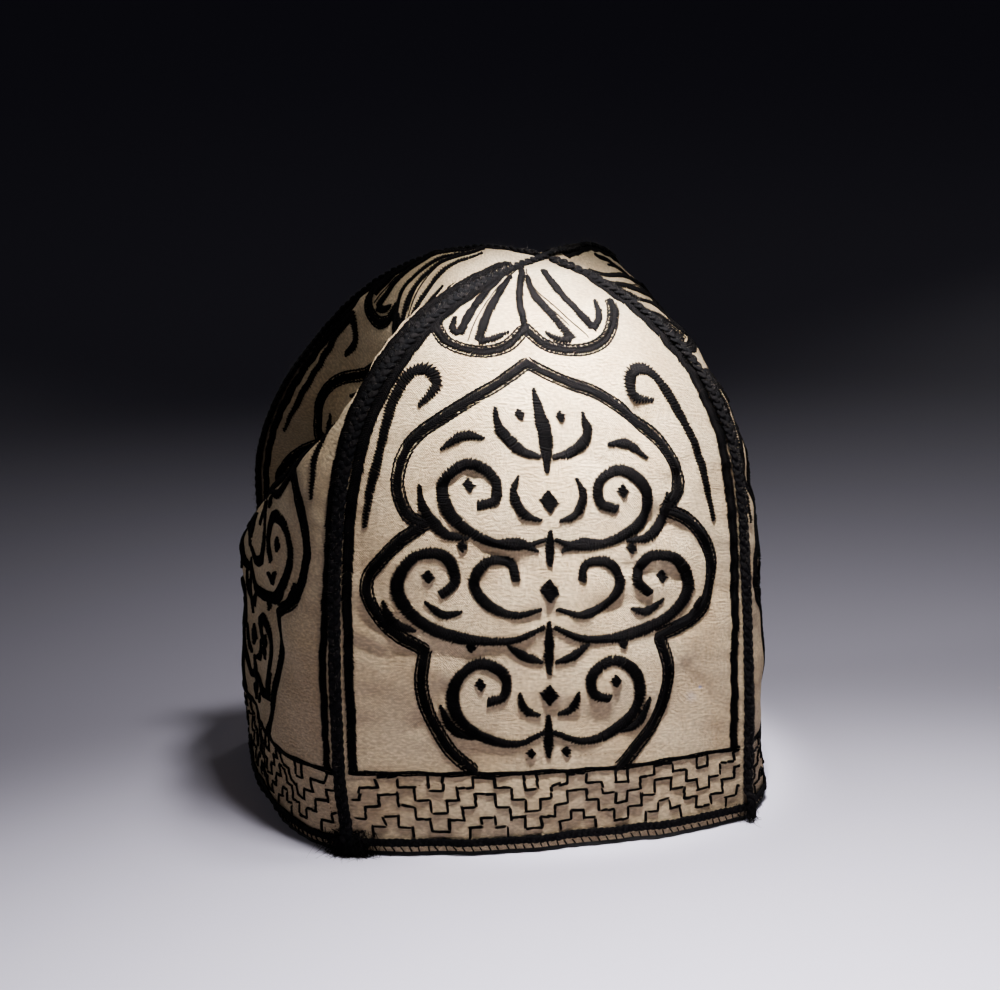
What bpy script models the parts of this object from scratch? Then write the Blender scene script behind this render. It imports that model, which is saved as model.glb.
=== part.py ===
"""Dervish hat: four padded wool gores that meet at a soft point, with braid on every seam.

The front gore faces -Y and +Z is up. The origin is on the floor, in the middle of the hat's
bounding box. Lengths in the tables are millimetres and become metres through MM.
"""
import math
from collections import namedtuple

import bpy
import numpy as np

MM = 0.001

# Driving dimensions
CORNER_REACH = 96.8          # from the middle of the opening to each seam's foot
APEX = (12.0, -13.0, 187.5)  # where the four seams meet, seen from the middle of the opening
PLAN_SHIFT = (-0.2, -1.3)    # brings the middle of the bounding box over the origin
CLOTH = 2.0                  # the wall: wool, wadding and backing quilted together
GAP = 0.3                    # clearance that touching pieces keep
SEAM_OPENING = 0.4           # between the edges of two gores, under the braid
BINDING_HEIGHT = 1.6
BINDING_WIDTH = 2.8
SEAM_BRAID_WIDTH = 5.0
SEAM_BRAID_THICKNESS = 2.0
RIM_BRAID_WIDTH = 3.0
RIM_BRAID_THICKNESS = 1.4
RIM_BRAID_HEIGHT = 4.9       # of its middle above the floor
SEAM_BRAID_FOOT = 1.4        # its lower end above the floor
BRAID_JOIN = 0.992           # share of the seam at which the long braid starts to cross over
GORE_TOP = 0.985             # share of the seam at which the gores stop under the crossing

# How finely the solids are faceted
GORE_COLUMNS = 18
GORE_ROWS = 25
SEAM_STEPS = 32              # along a braid, from its foot to the crossing
CROWDING = 0.3               # how much closer a gore's columns stand near its seams

# Seams: a row for each tenth of a seam's length, from the rim up. Reach is the share of the
# way from under the apex to the seam's foot, height is above the floor.
SeamRow = namedtuple(
    "SeamRow",
    "fl_reach fl_height fr_reach fr_height br_reach br_height bl_reach bl_height")
SEAM_ROWS = (
    SeamRow(1.000, 0.0, 1.000, 0.0, 1.000, 0.0, 1.000, 0.0),
    SeamRow(1.050, 25.0, 1.000, 22.5, 1.000, 26.0, 1.010, 26.5),
    SeamRow(1.065, 50.0, 0.997, 45.0, 1.000, 52.0, 1.025, 53.0),
    SeamRow(1.070, 75.0, 0.985, 68.0, 1.000, 78.0, 1.045, 80.0),
    SeamRow(1.060, 100.5, 0.968, 90.5, 0.990, 103.0, 1.045, 106.0),
    SeamRow(1.025, 125.5, 0.943, 113.0, 0.963, 128.8, 0.957, 130.0),
    SeamRow(0.925, 148.5, 0.880, 135.0, 0.900, 153.5, 0.815, 150.8),
    SeamRow(0.735, 166.0, 0.735, 154.5, 0.755, 174.2, 0.650, 168.5),
    SeamRow(0.505, 177.5, 0.520, 169.5, 0.515, 183.6, 0.450, 181.3),
    SeamRow(0.255, 184.0, 0.270, 180.5, 0.260, 186.3, 0.230, 187.8),
    SeamRow(0.000, 187.5, 0.000, 187.5, 0.000, 187.5, 0.000, 187.5),
)
SEAM_BEARING = {"fl": 225.0, "fr": 315.0, "br": 45.0, "bl": 135.0}

# Gores: the seams at each one's left and right, seen from outside, and how far its middle
# swells at the rim, at each quarter of its height and at the top. A high fullness keeps the
# middle flat and turns the gore sharply towards its seams.
Gore = namedtuple("Gore", "left right rim quarter half three_quarters top fullness")
GORES = {
    "front": Gore("fl", "fr", 13.5, 12.5, 10.5, 7.5, 0.0, 2.2),
    "right": Gore("fr", "br", 18.0, 17.0, 14.0, 2.0, 0.0, 3.4),
    "back": Gore("br", "bl", 16.5, 14.5, 10.0, -2.0, 0.0, 2.6),
    "left": Gore("bl", "fl", 17.0, 15.0, 13.5, 11.0, 0.0, 4.2),
}

# Dents: across runs from -1 at a gore's left seam to 1 at its right, up from 0 at the rim to
# 1 at the apex. Slope is how much a dent climbs towards its right. The next four are how far it
# reaches, and the walls how steep its left and right sides are. A higher grip lets it come
# nearer to that seam.
Dent = namedtuple(
    "Dent",
    "gore across up slope left right below above depth left_wall right_wall left_grip right_grip")
DENTS = (
    Dent("left", -0.20, 0.470, 0.156, 1.20, 1.00, 0.06, 0.55, 36.0, 2, 12, 4, 10),
    Dent("right", -0.35, 0.84, 0.0, 0.30, 0.35, 0.06, 0.06, 3.0, 2, 2, 5, 5),
    Dent("right", 0.30, 0.45, 0.0, 0.50, 0.40, 0.10, 0.12, 3.5, 2, 2, 5, 5),
    Dent("back", -0.20, 0.52, 0.0, 0.40, 0.45, 0.10, 0.16, 5.0, 2, 2, 5, 5),
    Dent("back", 0.40, 0.30, 0.0, 0.30, 0.30, 0.08, 0.10, 3.0, 2, 2, 5, 5),
    Dent("front", -0.78, 0.55, 0.0, 0.12, 0.12, 0.05, 0.05, 1.6, 2, 2, 5, 5),
    Dent("front", 0.62, 0.60, 0.0, 0.14, 0.14, 0.05, 0.05, 1.2, 2, 2, 5, 5),
)
APEX_GRIP = 0.40             # share of the height over which the apex holds it
APEX_EASE = 1.8              # how softly the dent ends there


def curve_through(rows, share):
    """Catmull-Rom curve through evenly spaced rows, at the given shares of its length."""
    rows = np.asarray(rows, float)
    spans = len(rows) - 1
    place = np.clip(np.asarray(share, float), 0.0, 1.0) * spans
    first = np.minimum(place.astype(int), spans - 1)
    t = (place - first)[..., None]
    padded = np.vstack([2 * rows[0] - rows[1], rows, 2 * rows[-1] - rows[-2]])
    a, b, c, d = (padded[first + step] for step in range(4))
    return 0.5 * (2 * b + (c - a) * t + (2 * a - 5 * b + 4 * c - d) * t ** 2
                  + (3 * b - a - 3 * c + d) * t ** 3)


def seam_point(seam, up):
    """Points of one seam at shares of its length from the rim."""
    rows = [(getattr(row, seam + "_reach"), getattr(row, seam + "_height")) for row in SEAM_ROWS]
    reach_height = curve_through(rows, up)
    bearing = math.radians(SEAM_BEARING[seam])
    foot = CORNER_REACH * np.array([math.cos(bearing), math.sin(bearing)])
    reach = reach_height[..., :1]
    plan = np.array(APEX[:2]) * (1 - reach) + foot * reach + np.array(PLAN_SHIFT)
    return np.concatenate([plan, reach_height[..., 1:]], axis=-1)


def bell(offset, below, above, below_wall=2, above_wall=2):
    """1 at an offset of 0, falling away over one width below it and another above."""
    width = np.where(offset < 0, below, above)
    wall = np.where(offset < 0, below_wall, above_wall)
    return np.exp(-np.abs(offset / width) ** wall)


def dent_depth(name, across, up):
    """How far a gore is pushed in."""
    depth = np.zeros(np.shape(across))
    for dent in DENTS:
        if dent.gore == name:
            aside = across - dent.across
            held = 1 - np.abs(across) ** np.where(across < 0, dent.left_grip, dent.right_grip)
            depth = depth + (dent.depth * held
                             * bell(up - dent.up - dent.slope * aside, dent.below, dent.above)
                             * bell(aside, dent.left, dent.right, dent.left_wall,
                                    dent.right_wall))
    return depth * np.clip((1 - up) / APEX_GRIP, 0, 1) ** APEX_EASE


def gore_point(name, across, up):
    """Outer surface of a gore: between its two seams, swollen outwards and dented."""
    gore = GORES[name]
    across, up = np.broadcast_arrays(np.asarray(across, float), np.asarray(up, float))
    step = 0.001
    low = np.minimum(up, 1 - 2 * step)
    left = seam_point(gore.left, up)
    right = seam_point(gore.right, up)
    low_left = seam_point(gore.left, low)
    low_right = seam_point(gore.right, low)
    rise = (seam_point(gore.left, low + step) + seam_point(gore.right, low + step)
            - low_left - low_right)
    outward = np.cross(low_right - low_left, rise)
    outward /= np.linalg.norm(outward, axis=-1, keepdims=True)
    swell = curve_through(np.array([gore[2:7]]).T, up)[..., 0]
    out = swell * (1 - np.abs(across) ** gore.fullness) - dent_depth(name, across, up)
    share = (across[..., None] + 1) / 2
    return left * (1 - share) + right * share + outward * out[..., None]


def gore_normal(name, across, up):
    """Unit normal of a gore's outer surface, pointing out."""
    step = 0.002
    up = np.clip(up, step, 1 - 0.005)
    across = np.clip(across, -1 + step, 1 - step)
    along = gore_point(name, across + step, up) - gore_point(name, across - step, up)
    rise = gore_point(name, across, up + step) - gore_point(name, across, up - step)
    normal = np.cross(along, rise)
    return normal / np.linalg.norm(normal, axis=-1, keepdims=True)


def gore_beside(seam, on_left_of_seam):
    """The gore that lies to the left or the right of a seam, seen from outside."""
    for name, gore in GORES.items():
        if (gore.right if on_left_of_seam else gore.left) == seam:
            return name
    raise ValueError(seam)


def seam_frame(seam, up):
    """Both gores' normals at a seam, and the mitre that stands 1 away from each of them."""
    left = gore_normal(gore_beside(seam, True), 1.0, up)
    right = gore_normal(gore_beside(seam, False), -1.0, up)
    mitre = (left + right) / (1 + np.sum(left * right, axis=-1, keepdims=True))
    return left, right, mitre


def up_at_height(name, across, height):
    """Share of the gore's height at which its outer surface is this high above the floor."""
    low = np.zeros(np.shape(across))
    high = np.full(np.shape(across), 0.3)
    for _ in range(24):
        middle = (low + high) / 2
        below = gore_point(name, across, middle)[..., 2] < height
        low = np.where(below, middle, low)
        high = np.where(below, high, middle)
    return middle


def spread(steps, crowding):
    """Places from -1 to 1, closer together towards both ends."""
    even = np.linspace(-1, 1, steps + 1)
    return even * (1 + crowding * (1 - np.abs(even)))


def mesh_object(name, points, faces, material, sharp_degrees):
    """A smooth-shaded object from points in millimetres."""
    mesh = bpy.data.meshes.new(name)
    mesh.from_pydata([tuple(point) for point in np.asarray(points) * MM], [], faces)
    mesh.validate()
    mesh.materials.append(material)
    mesh.shade_smooth()
    mesh.set_sharp_from_angle(angle=math.radians(sharp_degrees))
    piece = bpy.data.objects.new(name, mesh)
    bpy.context.scene.collection.objects.link(piece)
    return piece


def gore_wall(name):
    """Points and faces of one gore: an outer sheet, an inner one a wall's thickness in, and
    mitred edges, which leave room for its neighbours."""
    gore = GORES[name]
    columns = GORE_COLUMNS
    rows = GORE_ROWS
    bottom = (BINDING_HEIGHT + GAP) * np.ones(columns + 1)
    spacing = spread(columns, CROWDING)
    start = up_at_height(name, spacing, bottom)
    share = np.linspace(0, 1, rows + 1)[:, None]
    up = start * (1 - share) + GORE_TOP * share
    width = np.linalg.norm(seam_point(gore.left, up[:, 0]) - seam_point(gore.right, up[:, 0]),
                           axis=-1)
    across = spacing * (1 - SEAM_OPENING / width)[:, None]
    outer = gore_point(name, across, up)
    inward = gore_normal(name, across, up)
    inward[:, 0] = seam_frame(gore.left, up[:, 0])[2]
    inward[:, -1] = seam_frame(gore.right, up[:, -1])[2]
    inner = outer - inward * CLOTH
    inner[0, :, 2] = outer[0, :, 2]
    points = np.concatenate([outer.reshape(-1, 3), inner.reshape(-1, 3)])
    wide = columns + 1
    half = wide * (rows + 1)
    faces = []
    for row in range(rows):
        for column in range(columns):
            corner = row * wide + column
            quad = (corner, corner + 1, corner + wide + 1, corner + wide)
            faces.append(quad)
            faces.append(tuple(half + index for index in reversed(quad)))
    rim = [column for column in range(wide)]
    rim += [row * wide + columns for row in range(1, rows + 1)]
    rim += [rows * wide + column for column in range(columns - 1, -1, -1)]
    rim += [row * wide for row in range(rows - 1, 0, -1)]
    for index, here in enumerate(rim):
        after = rim[(index + 1) % len(rim)]
        faces.append((after, here, half + here, half + after))
    return points, faces


def lofted(sections, closed):
    """Points and faces of a bar through sections, each an anticlockwise ring of points seen
    against the way the bar runs."""
    count = len(sections[0])
    points = [point for section in sections for point in section]
    faces = []
    spans = len(sections) if closed else len(sections) - 1
    for span in range(spans):
        here = span * count
        there = (span + 1) % len(sections) * count
        for side in range(count):
            after = (side + 1) % count
            faces.append((here + side, here + after, there + after, there + side))
    if not closed:
        faces.append(tuple(range(count - 1, -1, -1)))
        last = (len(sections) - 1) * count
        faces.append(tuple(range(last, last + count)))
    return points, faces


def braid_section(seam, up, lift, downwards):
    """Seven-cornered section of a seam braid, bent over the ridge between two gores. Its
    corners run anticlockwise for a braid that comes towards the eye."""
    point = seam_point(seam, up)
    run = seam_point(seam, min(up + 0.004, 1.0)) - seam_point(seam, max(up - 0.004, 0.0))
    run /= np.linalg.norm(run)
    left_normal, right_normal, mitre = seam_frame(seam, up)
    left_side = np.cross(left_normal, run)
    right_side = np.cross(run, right_normal)
    left_side /= np.linalg.norm(left_side)
    right_side /= np.linalg.norm(right_side)
    if downwards:
        left_side, right_side = right_side, left_side
        left_normal, right_normal = right_normal, left_normal
    half = SEAM_BRAID_WIDTH / 2
    shoulder = lift + 0.45 * SEAM_BRAID_THICKNESS
    top = lift + SEAM_BRAID_THICKNESS
    return [
        point + right_side * half + right_normal * lift,
        point + mitre * lift,
        point + left_side * half + left_normal * lift,
        point + left_side * half + left_normal * shoulder,
        point + left_side * half * 0.5 + left_normal * top,
        point + right_side * half * 0.5 + right_normal * top,
        point + right_side * half + right_normal * shoulder,
    ]


def ease(value):
    """0 below 0, 1 above 1 and smooth between."""
    value = min(max(value, 0.0), 1.0)
    return value * value * (3 - 2 * value)


def seam_sections(seam, end_up):
    """Sections of a braid from the rim up one seam. At its foot it rides over the rim braid."""
    start_up = float(up_at_height(gore_beside(seam, True), np.array(1.0), SEAM_BRAID_FOOT))
    clear_height = RIM_BRAID_HEIGHT + RIM_BRAID_WIDTH / 2 + 1.0
    sections = []
    for step in range(SEAM_STEPS + 1):
        share = step / SEAM_STEPS
        up = start_up + (end_up - start_up) * share ** 1.25
        height = float(seam_point(seam, np.array(up))[2])
        over = 1 - ease((height - clear_height) / 4.0)
        lift = GAP + over * (RIM_BRAID_THICKNESS + GAP)
        sections.append((up, lift))
    return sections


def main_braid():
    """One braid from the front left foot over the top to the back right foot."""
    climb = [braid_section("fl", up, lift, False) for up, lift in seam_sections("fl", BRAID_JOIN)]
    descent = [braid_section("br", up, lift, True) for up, lift in seam_sections("br", BRAID_JOIN)]
    return lofted(climb + descent[::-1], closed=False)


def half_braid(seam):
    """A braid from a foot up to the side of the main braid."""
    length = 250.0
    end_up = 1 - (SEAM_BRAID_WIDTH / 2 + GAP + 0.2) / length
    return lofted([braid_section(seam, up, lift, False)
                   for up, lift in seam_sections(seam, end_up)], closed=False)


def rim_path(height):
    """Places all round the outside at one height, with the way out from the wall at each."""
    places = []
    for name, gore in GORES.items():
        across = spread(GORE_COLUMNS, CROWDING)[:-1]
        up = up_at_height(name, across, np.full(GORE_COLUMNS, height))
        points = gore_point(name, across, up)
        out = gore_normal(name, across, up)
        out[0] = seam_frame(gore.left, float(up[0]))[2]
        places += list(zip(points, out))
    return places


def rim_braid():
    """The thin braid that runs round just above the edge."""
    half = RIM_BRAID_WIDTH / 2
    rise = np.array([0.0, 0.0, 1.0])
    sections = []
    for point, out in rim_path(RIM_BRAID_HEIGHT):
        near = 1.5 * GAP
        far = near + RIM_BRAID_THICKNESS
        sections.append([
            point - rise * half + out * near,
            point + rise * half + out * near,
            point + rise * half + out * (near + far) / 2,
            point + rise * half * 0.4 + out * far,
            point - rise * half * 0.4 + out * far,
            point - rise * half + out * (near + far) / 2,
        ])
    return lofted(sections, closed=True)


def edge_binding():
    """The dark strip bound round the raw edge, flat underneath where the hat stands."""
    rise = np.array([0.0, 0.0, 1.0])
    outside = (BINDING_WIDTH - CLOTH) / 2
    inside = outside - BINDING_WIDTH
    soft = 0.35 * BINDING_HEIGHT
    sections = []
    for point, out in rim_path(BINDING_HEIGHT / 2):
        level = np.array([out[0], out[1], 0.0])
        foot = np.array([point[0], point[1], 0.0])
        sections.append([
            foot + level * (inside + soft / 2),
            foot + level * inside + rise * soft,
            foot + level * inside + rise * (BINDING_HEIGHT - soft),
            foot + level * (inside + soft / 2) + rise * BINDING_HEIGHT,
            foot + level * (outside - soft / 2) + rise * BINDING_HEIGHT,
            foot + level * outside + rise * (BINDING_HEIGHT - soft),
            foot + level * outside + rise * soft,
            foot + level * (outside - soft / 2),
        ])
    return lofted(sections, closed=True)


def cloth_material(name, colour, roughness):
    """A plain matt material, slightly fuzzy like wool or cotton."""
    material = bpy.data.materials.new(name)
    material.use_nodes = True
    shader = material.node_tree.nodes["Principled BSDF"]
    shader.inputs["Base Color"].default_value = (*colour, 1.0)
    shader.inputs["Roughness"].default_value = roughness
    shader.inputs["Metallic"].default_value = 0.0
    shader.inputs["Sheen Weight"].default_value = 0.2
    return material


def clear_scene():
    """Remove what the file opened with."""
    for item in list(bpy.data.objects):
        bpy.data.objects.remove(item, do_unlink=True)


def main():
    clear_scene()
    cream = cloth_material("cream_wool", (0.60, 0.49, 0.37), 0.92)
    black = cloth_material("black_braid", (0.012, 0.012, 0.014), 0.85)
    edging = cloth_material("black_binding", (0.016, 0.014, 0.014), 0.9)
    for name in GORES:
        mesh_object(name + "_gore", *gore_wall(name), cream, 60)
    mesh_object("seam_braid_front_left_to_back_right", *main_braid(), black, 50)
    mesh_object("seam_braid_front_right", *half_braid("fr"), black, 50)
    mesh_object("seam_braid_back_left", *half_braid("bl"), black, 50)
    mesh_object("rim_braid", *rim_braid(), black, 50)
    mesh_object("edge_binding", *edge_binding(), edging, 50)


main()
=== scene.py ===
"""Looks of a dervish hat: embroidered wool gores, plaited braid on the seams, a bound edge.

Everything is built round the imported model. Tables are in millimetres and become metres
through MM. A place on a gore is given by across, from -1 at its left seam to 1 at its right as
seen from outside, and up, from 0 at the rim to 1 at the apex.
"""

import functools
import math
from collections import namedtuple

import bpy
import numpy as np
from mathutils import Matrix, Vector


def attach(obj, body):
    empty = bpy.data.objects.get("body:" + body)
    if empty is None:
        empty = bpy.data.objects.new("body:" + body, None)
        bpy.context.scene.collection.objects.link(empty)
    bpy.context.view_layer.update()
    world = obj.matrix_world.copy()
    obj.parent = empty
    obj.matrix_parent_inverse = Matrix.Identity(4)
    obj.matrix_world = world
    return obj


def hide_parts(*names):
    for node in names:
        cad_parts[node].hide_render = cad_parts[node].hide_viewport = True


bl_info = {
    "name": "Dervish hat",
    "version": (1, 0, 0),
    "blender": (4, 5, 0),
    "location": "3D View > Sidebar > Hat",
    "description": "Builds the cloth, embroidery, braid and stage of a four-gored wool hat",
    "category": "Object",
}

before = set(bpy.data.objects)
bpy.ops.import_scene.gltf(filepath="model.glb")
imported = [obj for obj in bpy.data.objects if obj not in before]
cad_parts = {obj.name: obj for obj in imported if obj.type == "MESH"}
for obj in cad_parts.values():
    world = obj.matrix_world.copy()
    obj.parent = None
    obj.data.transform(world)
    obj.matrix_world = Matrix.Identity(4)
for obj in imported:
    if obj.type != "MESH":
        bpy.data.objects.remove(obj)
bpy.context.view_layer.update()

MM = 0.001
UPWARDS = np.array([0.0, 0.0, 1.0])
LEVEL = np.array([1.0, 1.0, 0.0])       # leaves out the height
TRIANGLE_LIMIT = 200000      # for one piece

# Shape of the hat, as in the part's source
CORNER_REACH = 96.8
APEX = (12.0, -13.0, 187.5)
PLAN_SHIFT = (-0.2, -1.3)
SeamRow = namedtuple(
    "SeamRow",
    "fl_reach fl_height fr_reach fr_height br_reach br_height bl_reach bl_height")
SEAM_ROWS = (
    SeamRow(1.000, 0.0, 1.000, 0.0, 1.000, 0.0, 1.000, 0.0),
    SeamRow(1.050, 25.0, 1.000, 22.5, 1.000, 26.0, 1.010, 26.5),
    SeamRow(1.065, 50.0, 0.997, 45.0, 1.000, 52.0, 1.025, 53.0),
    SeamRow(1.070, 75.0, 0.985, 68.0, 1.000, 78.0, 1.045, 80.0),
    SeamRow(1.060, 100.5, 0.968, 90.5, 0.990, 103.0, 1.045, 106.0),
    SeamRow(1.025, 125.5, 0.943, 113.0, 0.963, 128.8, 0.957, 130.0),
    SeamRow(0.925, 148.5, 0.880, 135.0, 0.900, 153.5, 0.815, 150.8),
    SeamRow(0.735, 166.0, 0.735, 154.5, 0.755, 174.2, 0.650, 168.5),
    SeamRow(0.505, 177.5, 0.520, 169.5, 0.515, 183.6, 0.450, 181.3),
    SeamRow(0.255, 184.0, 0.270, 180.5, 0.260, 186.3, 0.230, 187.8),
    SeamRow(0.000, 187.5, 0.000, 187.5, 0.000, 187.5, 0.000, 187.5),
)
SEAM_BEARING = {"fl": 225.0, "fr": 315.0, "br": 45.0, "bl": 135.0}
Gore = namedtuple("Gore", "left right rim quarter half three_quarters top fullness")
GORES = {
    "front": Gore("fl", "fr", 13.5, 12.5, 10.5, 7.5, 0.0, 2.2),
    "right": Gore("fr", "br", 18.0, 17.0, 14.0, 2.0, 0.0, 3.4),
    "back": Gore("br", "bl", 16.5, 14.5, 10.0, -2.0, 0.0, 2.6),
    "left": Gore("bl", "fl", 17.0, 15.0, 13.5, 11.0, 0.0, 4.2),
}
Dent = namedtuple(
    "Dent",
    "gore across up slope left right below above depth left_wall right_wall left_grip right_grip")
DENTS = (
    Dent("left", -0.20, 0.470, 0.156, 1.20, 1.00, 0.06, 0.55, 36.0, 2, 12, 4, 10),
    Dent("right", -0.35, 0.84, 0.0, 0.30, 0.35, 0.06, 0.06, 3.0, 2, 2, 5, 5),
    Dent("right", 0.30, 0.45, 0.0, 0.50, 0.40, 0.10, 0.12, 3.5, 2, 2, 5, 5),
    Dent("back", -0.20, 0.52, 0.0, 0.40, 0.45, 0.10, 0.16, 5.0, 2, 2, 5, 5),
    Dent("back", 0.40, 0.30, 0.0, 0.30, 0.30, 0.08, 0.10, 3.0, 2, 2, 5, 5),
    Dent("front", -0.78, 0.55, 0.0, 0.12, 0.12, 0.05, 0.05, 1.6, 2, 2, 5, 5),
    Dent("front", 0.62, 0.60, 0.0, 0.14, 0.14, 0.05, 0.05, 1.2, 2, 2, 5, 5),
)
APEX_GRIP = 0.40
APEX_EASE = 1.8
RIM_BRAID_HEIGHT = 4.9
RIM_BRAID_THICKNESS = 1.4
RIM_BRAID_WIDTH = 3.0
SEAM_BRAID_FOOT = 1.4
BINDING_HEIGHT = 1.6
BINDING_WIDTH = 2.8
GAP = 0.3

# The bound edge
BINDING_PLACES = 120         # round each gore
BINDING_CORNERS = 14         # of its section
BINDING_ROUNDNESS = 0.6      # 1 is an oval, less comes nearer to a box

# The shells of the gores
SEAM_SIDE = 0.999            # across, just beside a seam
SHELL_SIDE = 0.9995          # how far across and up a shell goes
SHELL_TOP = 0.994
SHELL_FOOT = 0.7             # its edge's height, inside the binding
SHELL_CROWDING = 0.12        # its columns stand closer towards the seams

# Plaits
PLAIT_STRANDS = 3
PLAIT_SIDES = 6
PLAIT_FLATNESS = 0.62        # a strand's thickness as a share of its width
PLAIT_WEAVE = 0.46           # how far strands rise and dip where they cross
RIM_PLAIT_WEAVE = 0.22
BRAID_RINGS = 560            # along one seam
RIM_BRAID_RINGS = 900
RIM_BRAID_PLACES = 140       # read from each gore
BRAID_SAMPLES = 200
LONG_BRAID_TOP = 0.990       # up, where the long braid passes over the apex
SHORT_BRAID_TOP = 0.989

# Small folds: a soft valley along a line on a gore. A negative depth is a ridge.
Fold = namedtuple("Fold", "gore across up to_across to_up width depth")
FOLDS = (
    Fold("front", -0.97, 0.300, -0.76, 0.278, 2.6, 1.7),
    Fold("front", -0.97, 0.318, -0.74, 0.300, 3.2, -1.0),
    Fold("front", -0.60, 0.285, -0.28, 0.284, 2.6, 1.2),
    Fold("front", -0.93, 0.455, -0.87, 0.375, 3.2, 2.0),
    Fold("front", -0.84, 0.548, -0.72, 0.560, 3.0, 1.6),
    Fold("front", 0.80, 0.425, 0.86, 0.355, 4.6, 2.3),
    Fold("front", 0.52, 0.470, 0.66, 0.445, 3.6, 1.7),
    Fold("front", -0.86, 0.620, -0.70, 0.590, 4.0, 1.4),
    Fold("front", 0.30, 0.655, 0.50, 0.610, 5.0, 1.4),
    Fold("front", 0.44, 0.615, 0.50, 0.575, 3.0, 1.3),
    Fold("front", -0.20, 0.200, 0.25, 0.190, 6.0, 0.9),
    Fold("front", -0.50, 0.060, -0.46, 0.010, 3.5, -0.9),
    Fold("front", 0.36, 0.075, 0.40, 0.010, 4.0, 0.9),
    Fold("front", -0.93, 0.345, -0.70, 0.285, 1.9, 2.0),
    Fold("front", -0.90, 0.372, -0.80, 0.330, 2.4, -1.2),
    Fold("front", -0.62, 0.492, -0.40, 0.520, 2.2, 1.4),
    Fold("front", -0.50, 0.545, -0.34, 0.500, 2.6, 1.0),
    Fold("front", 0.36, 0.400, 0.62, 0.385, 2.2, 1.5),
    Fold("front", 0.20, 0.345, 0.46, 0.352, 2.4, 1.0),
    Fold("front", -0.16, 0.330, 0.06, 0.345, 2.2, 1.0),
    Fold("front", 0.62, 0.520, 0.80, 0.560, 2.6, 1.4),
    Fold("front", -0.30, 0.425, -0.14, 0.400, 2.2, 1.0),
    Fold("front", 0.02, 0.560, 0.26, 0.540, 2.4, 1.0),
    Fold("front", -0.66, 0.180, -0.52, 0.235, 2.6, 1.1),
    Fold("front", 0.66, 0.250, 0.80, 0.200, 3.0, 1.1),
    Fold("front", -0.95, 0.150, -0.40, 0.150, 13.0, 2.4),
    Fold("front", 0.45, 0.150, 0.90, 0.160, 12.0, 1.4),
    Fold("right", -0.80, 0.500, -0.35, 0.440, 5.0, 1.4),
    Fold("right", 0.10, 0.300, 0.45, 0.250, 6.0, 1.2),
    Fold("right", 0.72, 0.580, 0.86, 0.480, 4.0, 1.3),
    Fold("right", -0.10, 0.740, 0.25, 0.700, 5.0, 1.1),
    Fold("back", -0.75, 0.420, -0.40, 0.360, 5.0, 1.4),
    Fold("back", 0.60, 0.560, 0.85, 0.480, 4.0, 1.4),
    Fold("back", -0.15, 0.680, 0.30, 0.650, 6.0, 1.2),
    Fold("left", -0.65, 0.250, -0.30, 0.220, 5.0, 1.1),
    Fold("left", 0.35, 0.300, 0.70, 0.240, 4.0, 1.0),
    Fold("left", -0.62, 0.110, -0.66, 0.020, 3.0, 0.9),
)
Ripple = namedtuple("Ripple", "length bearing height")
RIPPLES = (
    Ripple(46.0, 0.4, 0.60),
    Ripple(31.0, 1.9, 0.42),
    Ripple(19.0, 2.7, 0.24),
    Ripple(12.0, 1.1, 0.11),
    Ripple(8.3, 2.2, 0.06),
)
FOLD_HOLD = 8                # power of across with which folds die out towards a seam
FOLD_TOP = 0.1               # up, from the apex, over which they die out
BAND_PUFF = 0.24             # swellings between the close stitches of the band above the rim
BAND_PUFF_SIZE = 7.0
GORE_LENGTH = 243.0          # nominal, along the middle of a gore
PUCKER_LENGTH = 8.5
PUCKER_REACH = 4.5
PUCKER_HEIGHT = 0.26
GROOVE_DEPTH = 0.34          # how far a thick embroidered line draws the cloth in
GROOVE_WIDTH = 2.2
GROOVE_REACH = 6.5           # from the line to the crest of the cloth beside it
RELIEF_COLUMNS = 241         # places across and up at which the relief of a gore is worked out
RELIEF_ROWS = 325
SEARCH_TOP = 0.3             # up, below which a place at a given height is looked for
SEARCH_STEPS = 20
GORE_TURN = 1.7              # keeps the waves of the gores apart

# Embroidered outline of a gore's field: points down one side, broken where it has a cusp
FIELD_LEFT = (
    ((-0.190, 0.676), (-0.344, 0.641), (-0.476, 0.617), (-0.669, 0.576), (-0.741, 0.542),
     (-0.752, 0.504), (-0.693, 0.466), (-0.614, 0.456)),
    ((-0.614, 0.456), (-0.745, 0.427), (-0.851, 0.386), (-0.854, 0.354), (-0.761, 0.316),
     (-0.606, 0.290)),
    ((-0.606, 0.290), (-0.628, 0.250), (-0.600, 0.208), (-0.506, 0.153), (-0.394, 0.121)),
)
FIELD_RIGHT = (
    ((-0.190, 0.676), (0.042, 0.650), (0.249, 0.634), (0.521, 0.590), (0.645, 0.544),
     (0.650, 0.510), (0.573, 0.482)),
    ((0.573, 0.482), (0.700, 0.466), (0.795, 0.432), (0.820, 0.392), (0.745, 0.334),
     (0.526, 0.300)),
    ((0.526, 0.300), (0.564, 0.258), (0.553, 0.220), (0.480, 0.170), (0.308, 0.118)),
)
HOOK_LEFT = ((-0.730, 0.608), (-0.679, 0.639), (-0.779, 0.663), (-0.858, 0.655),
             (-0.868, 0.618), (-0.860, 0.551), (-0.876, 0.496), (-0.882, 0.446))
HOOK_RIGHT = ((0.582, 0.634), (0.452, 0.638), (0.461, 0.670), (0.590, 0.681),
              (0.675, 0.655), (0.749, 0.605), (0.796, 0.555), (0.843, 0.464))
ROSETTE_LOBES = (
    ((-0.940, 0.755), (-0.732, 0.705), (-0.514, 0.690), (-0.345, 0.701), (-0.243, 0.734)),
    ((-0.243, 0.734), (-0.077, 0.707), (0.148, 0.701), (0.343, 0.724), (0.519, 0.780),
     (0.646, 0.825)),
)
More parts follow.
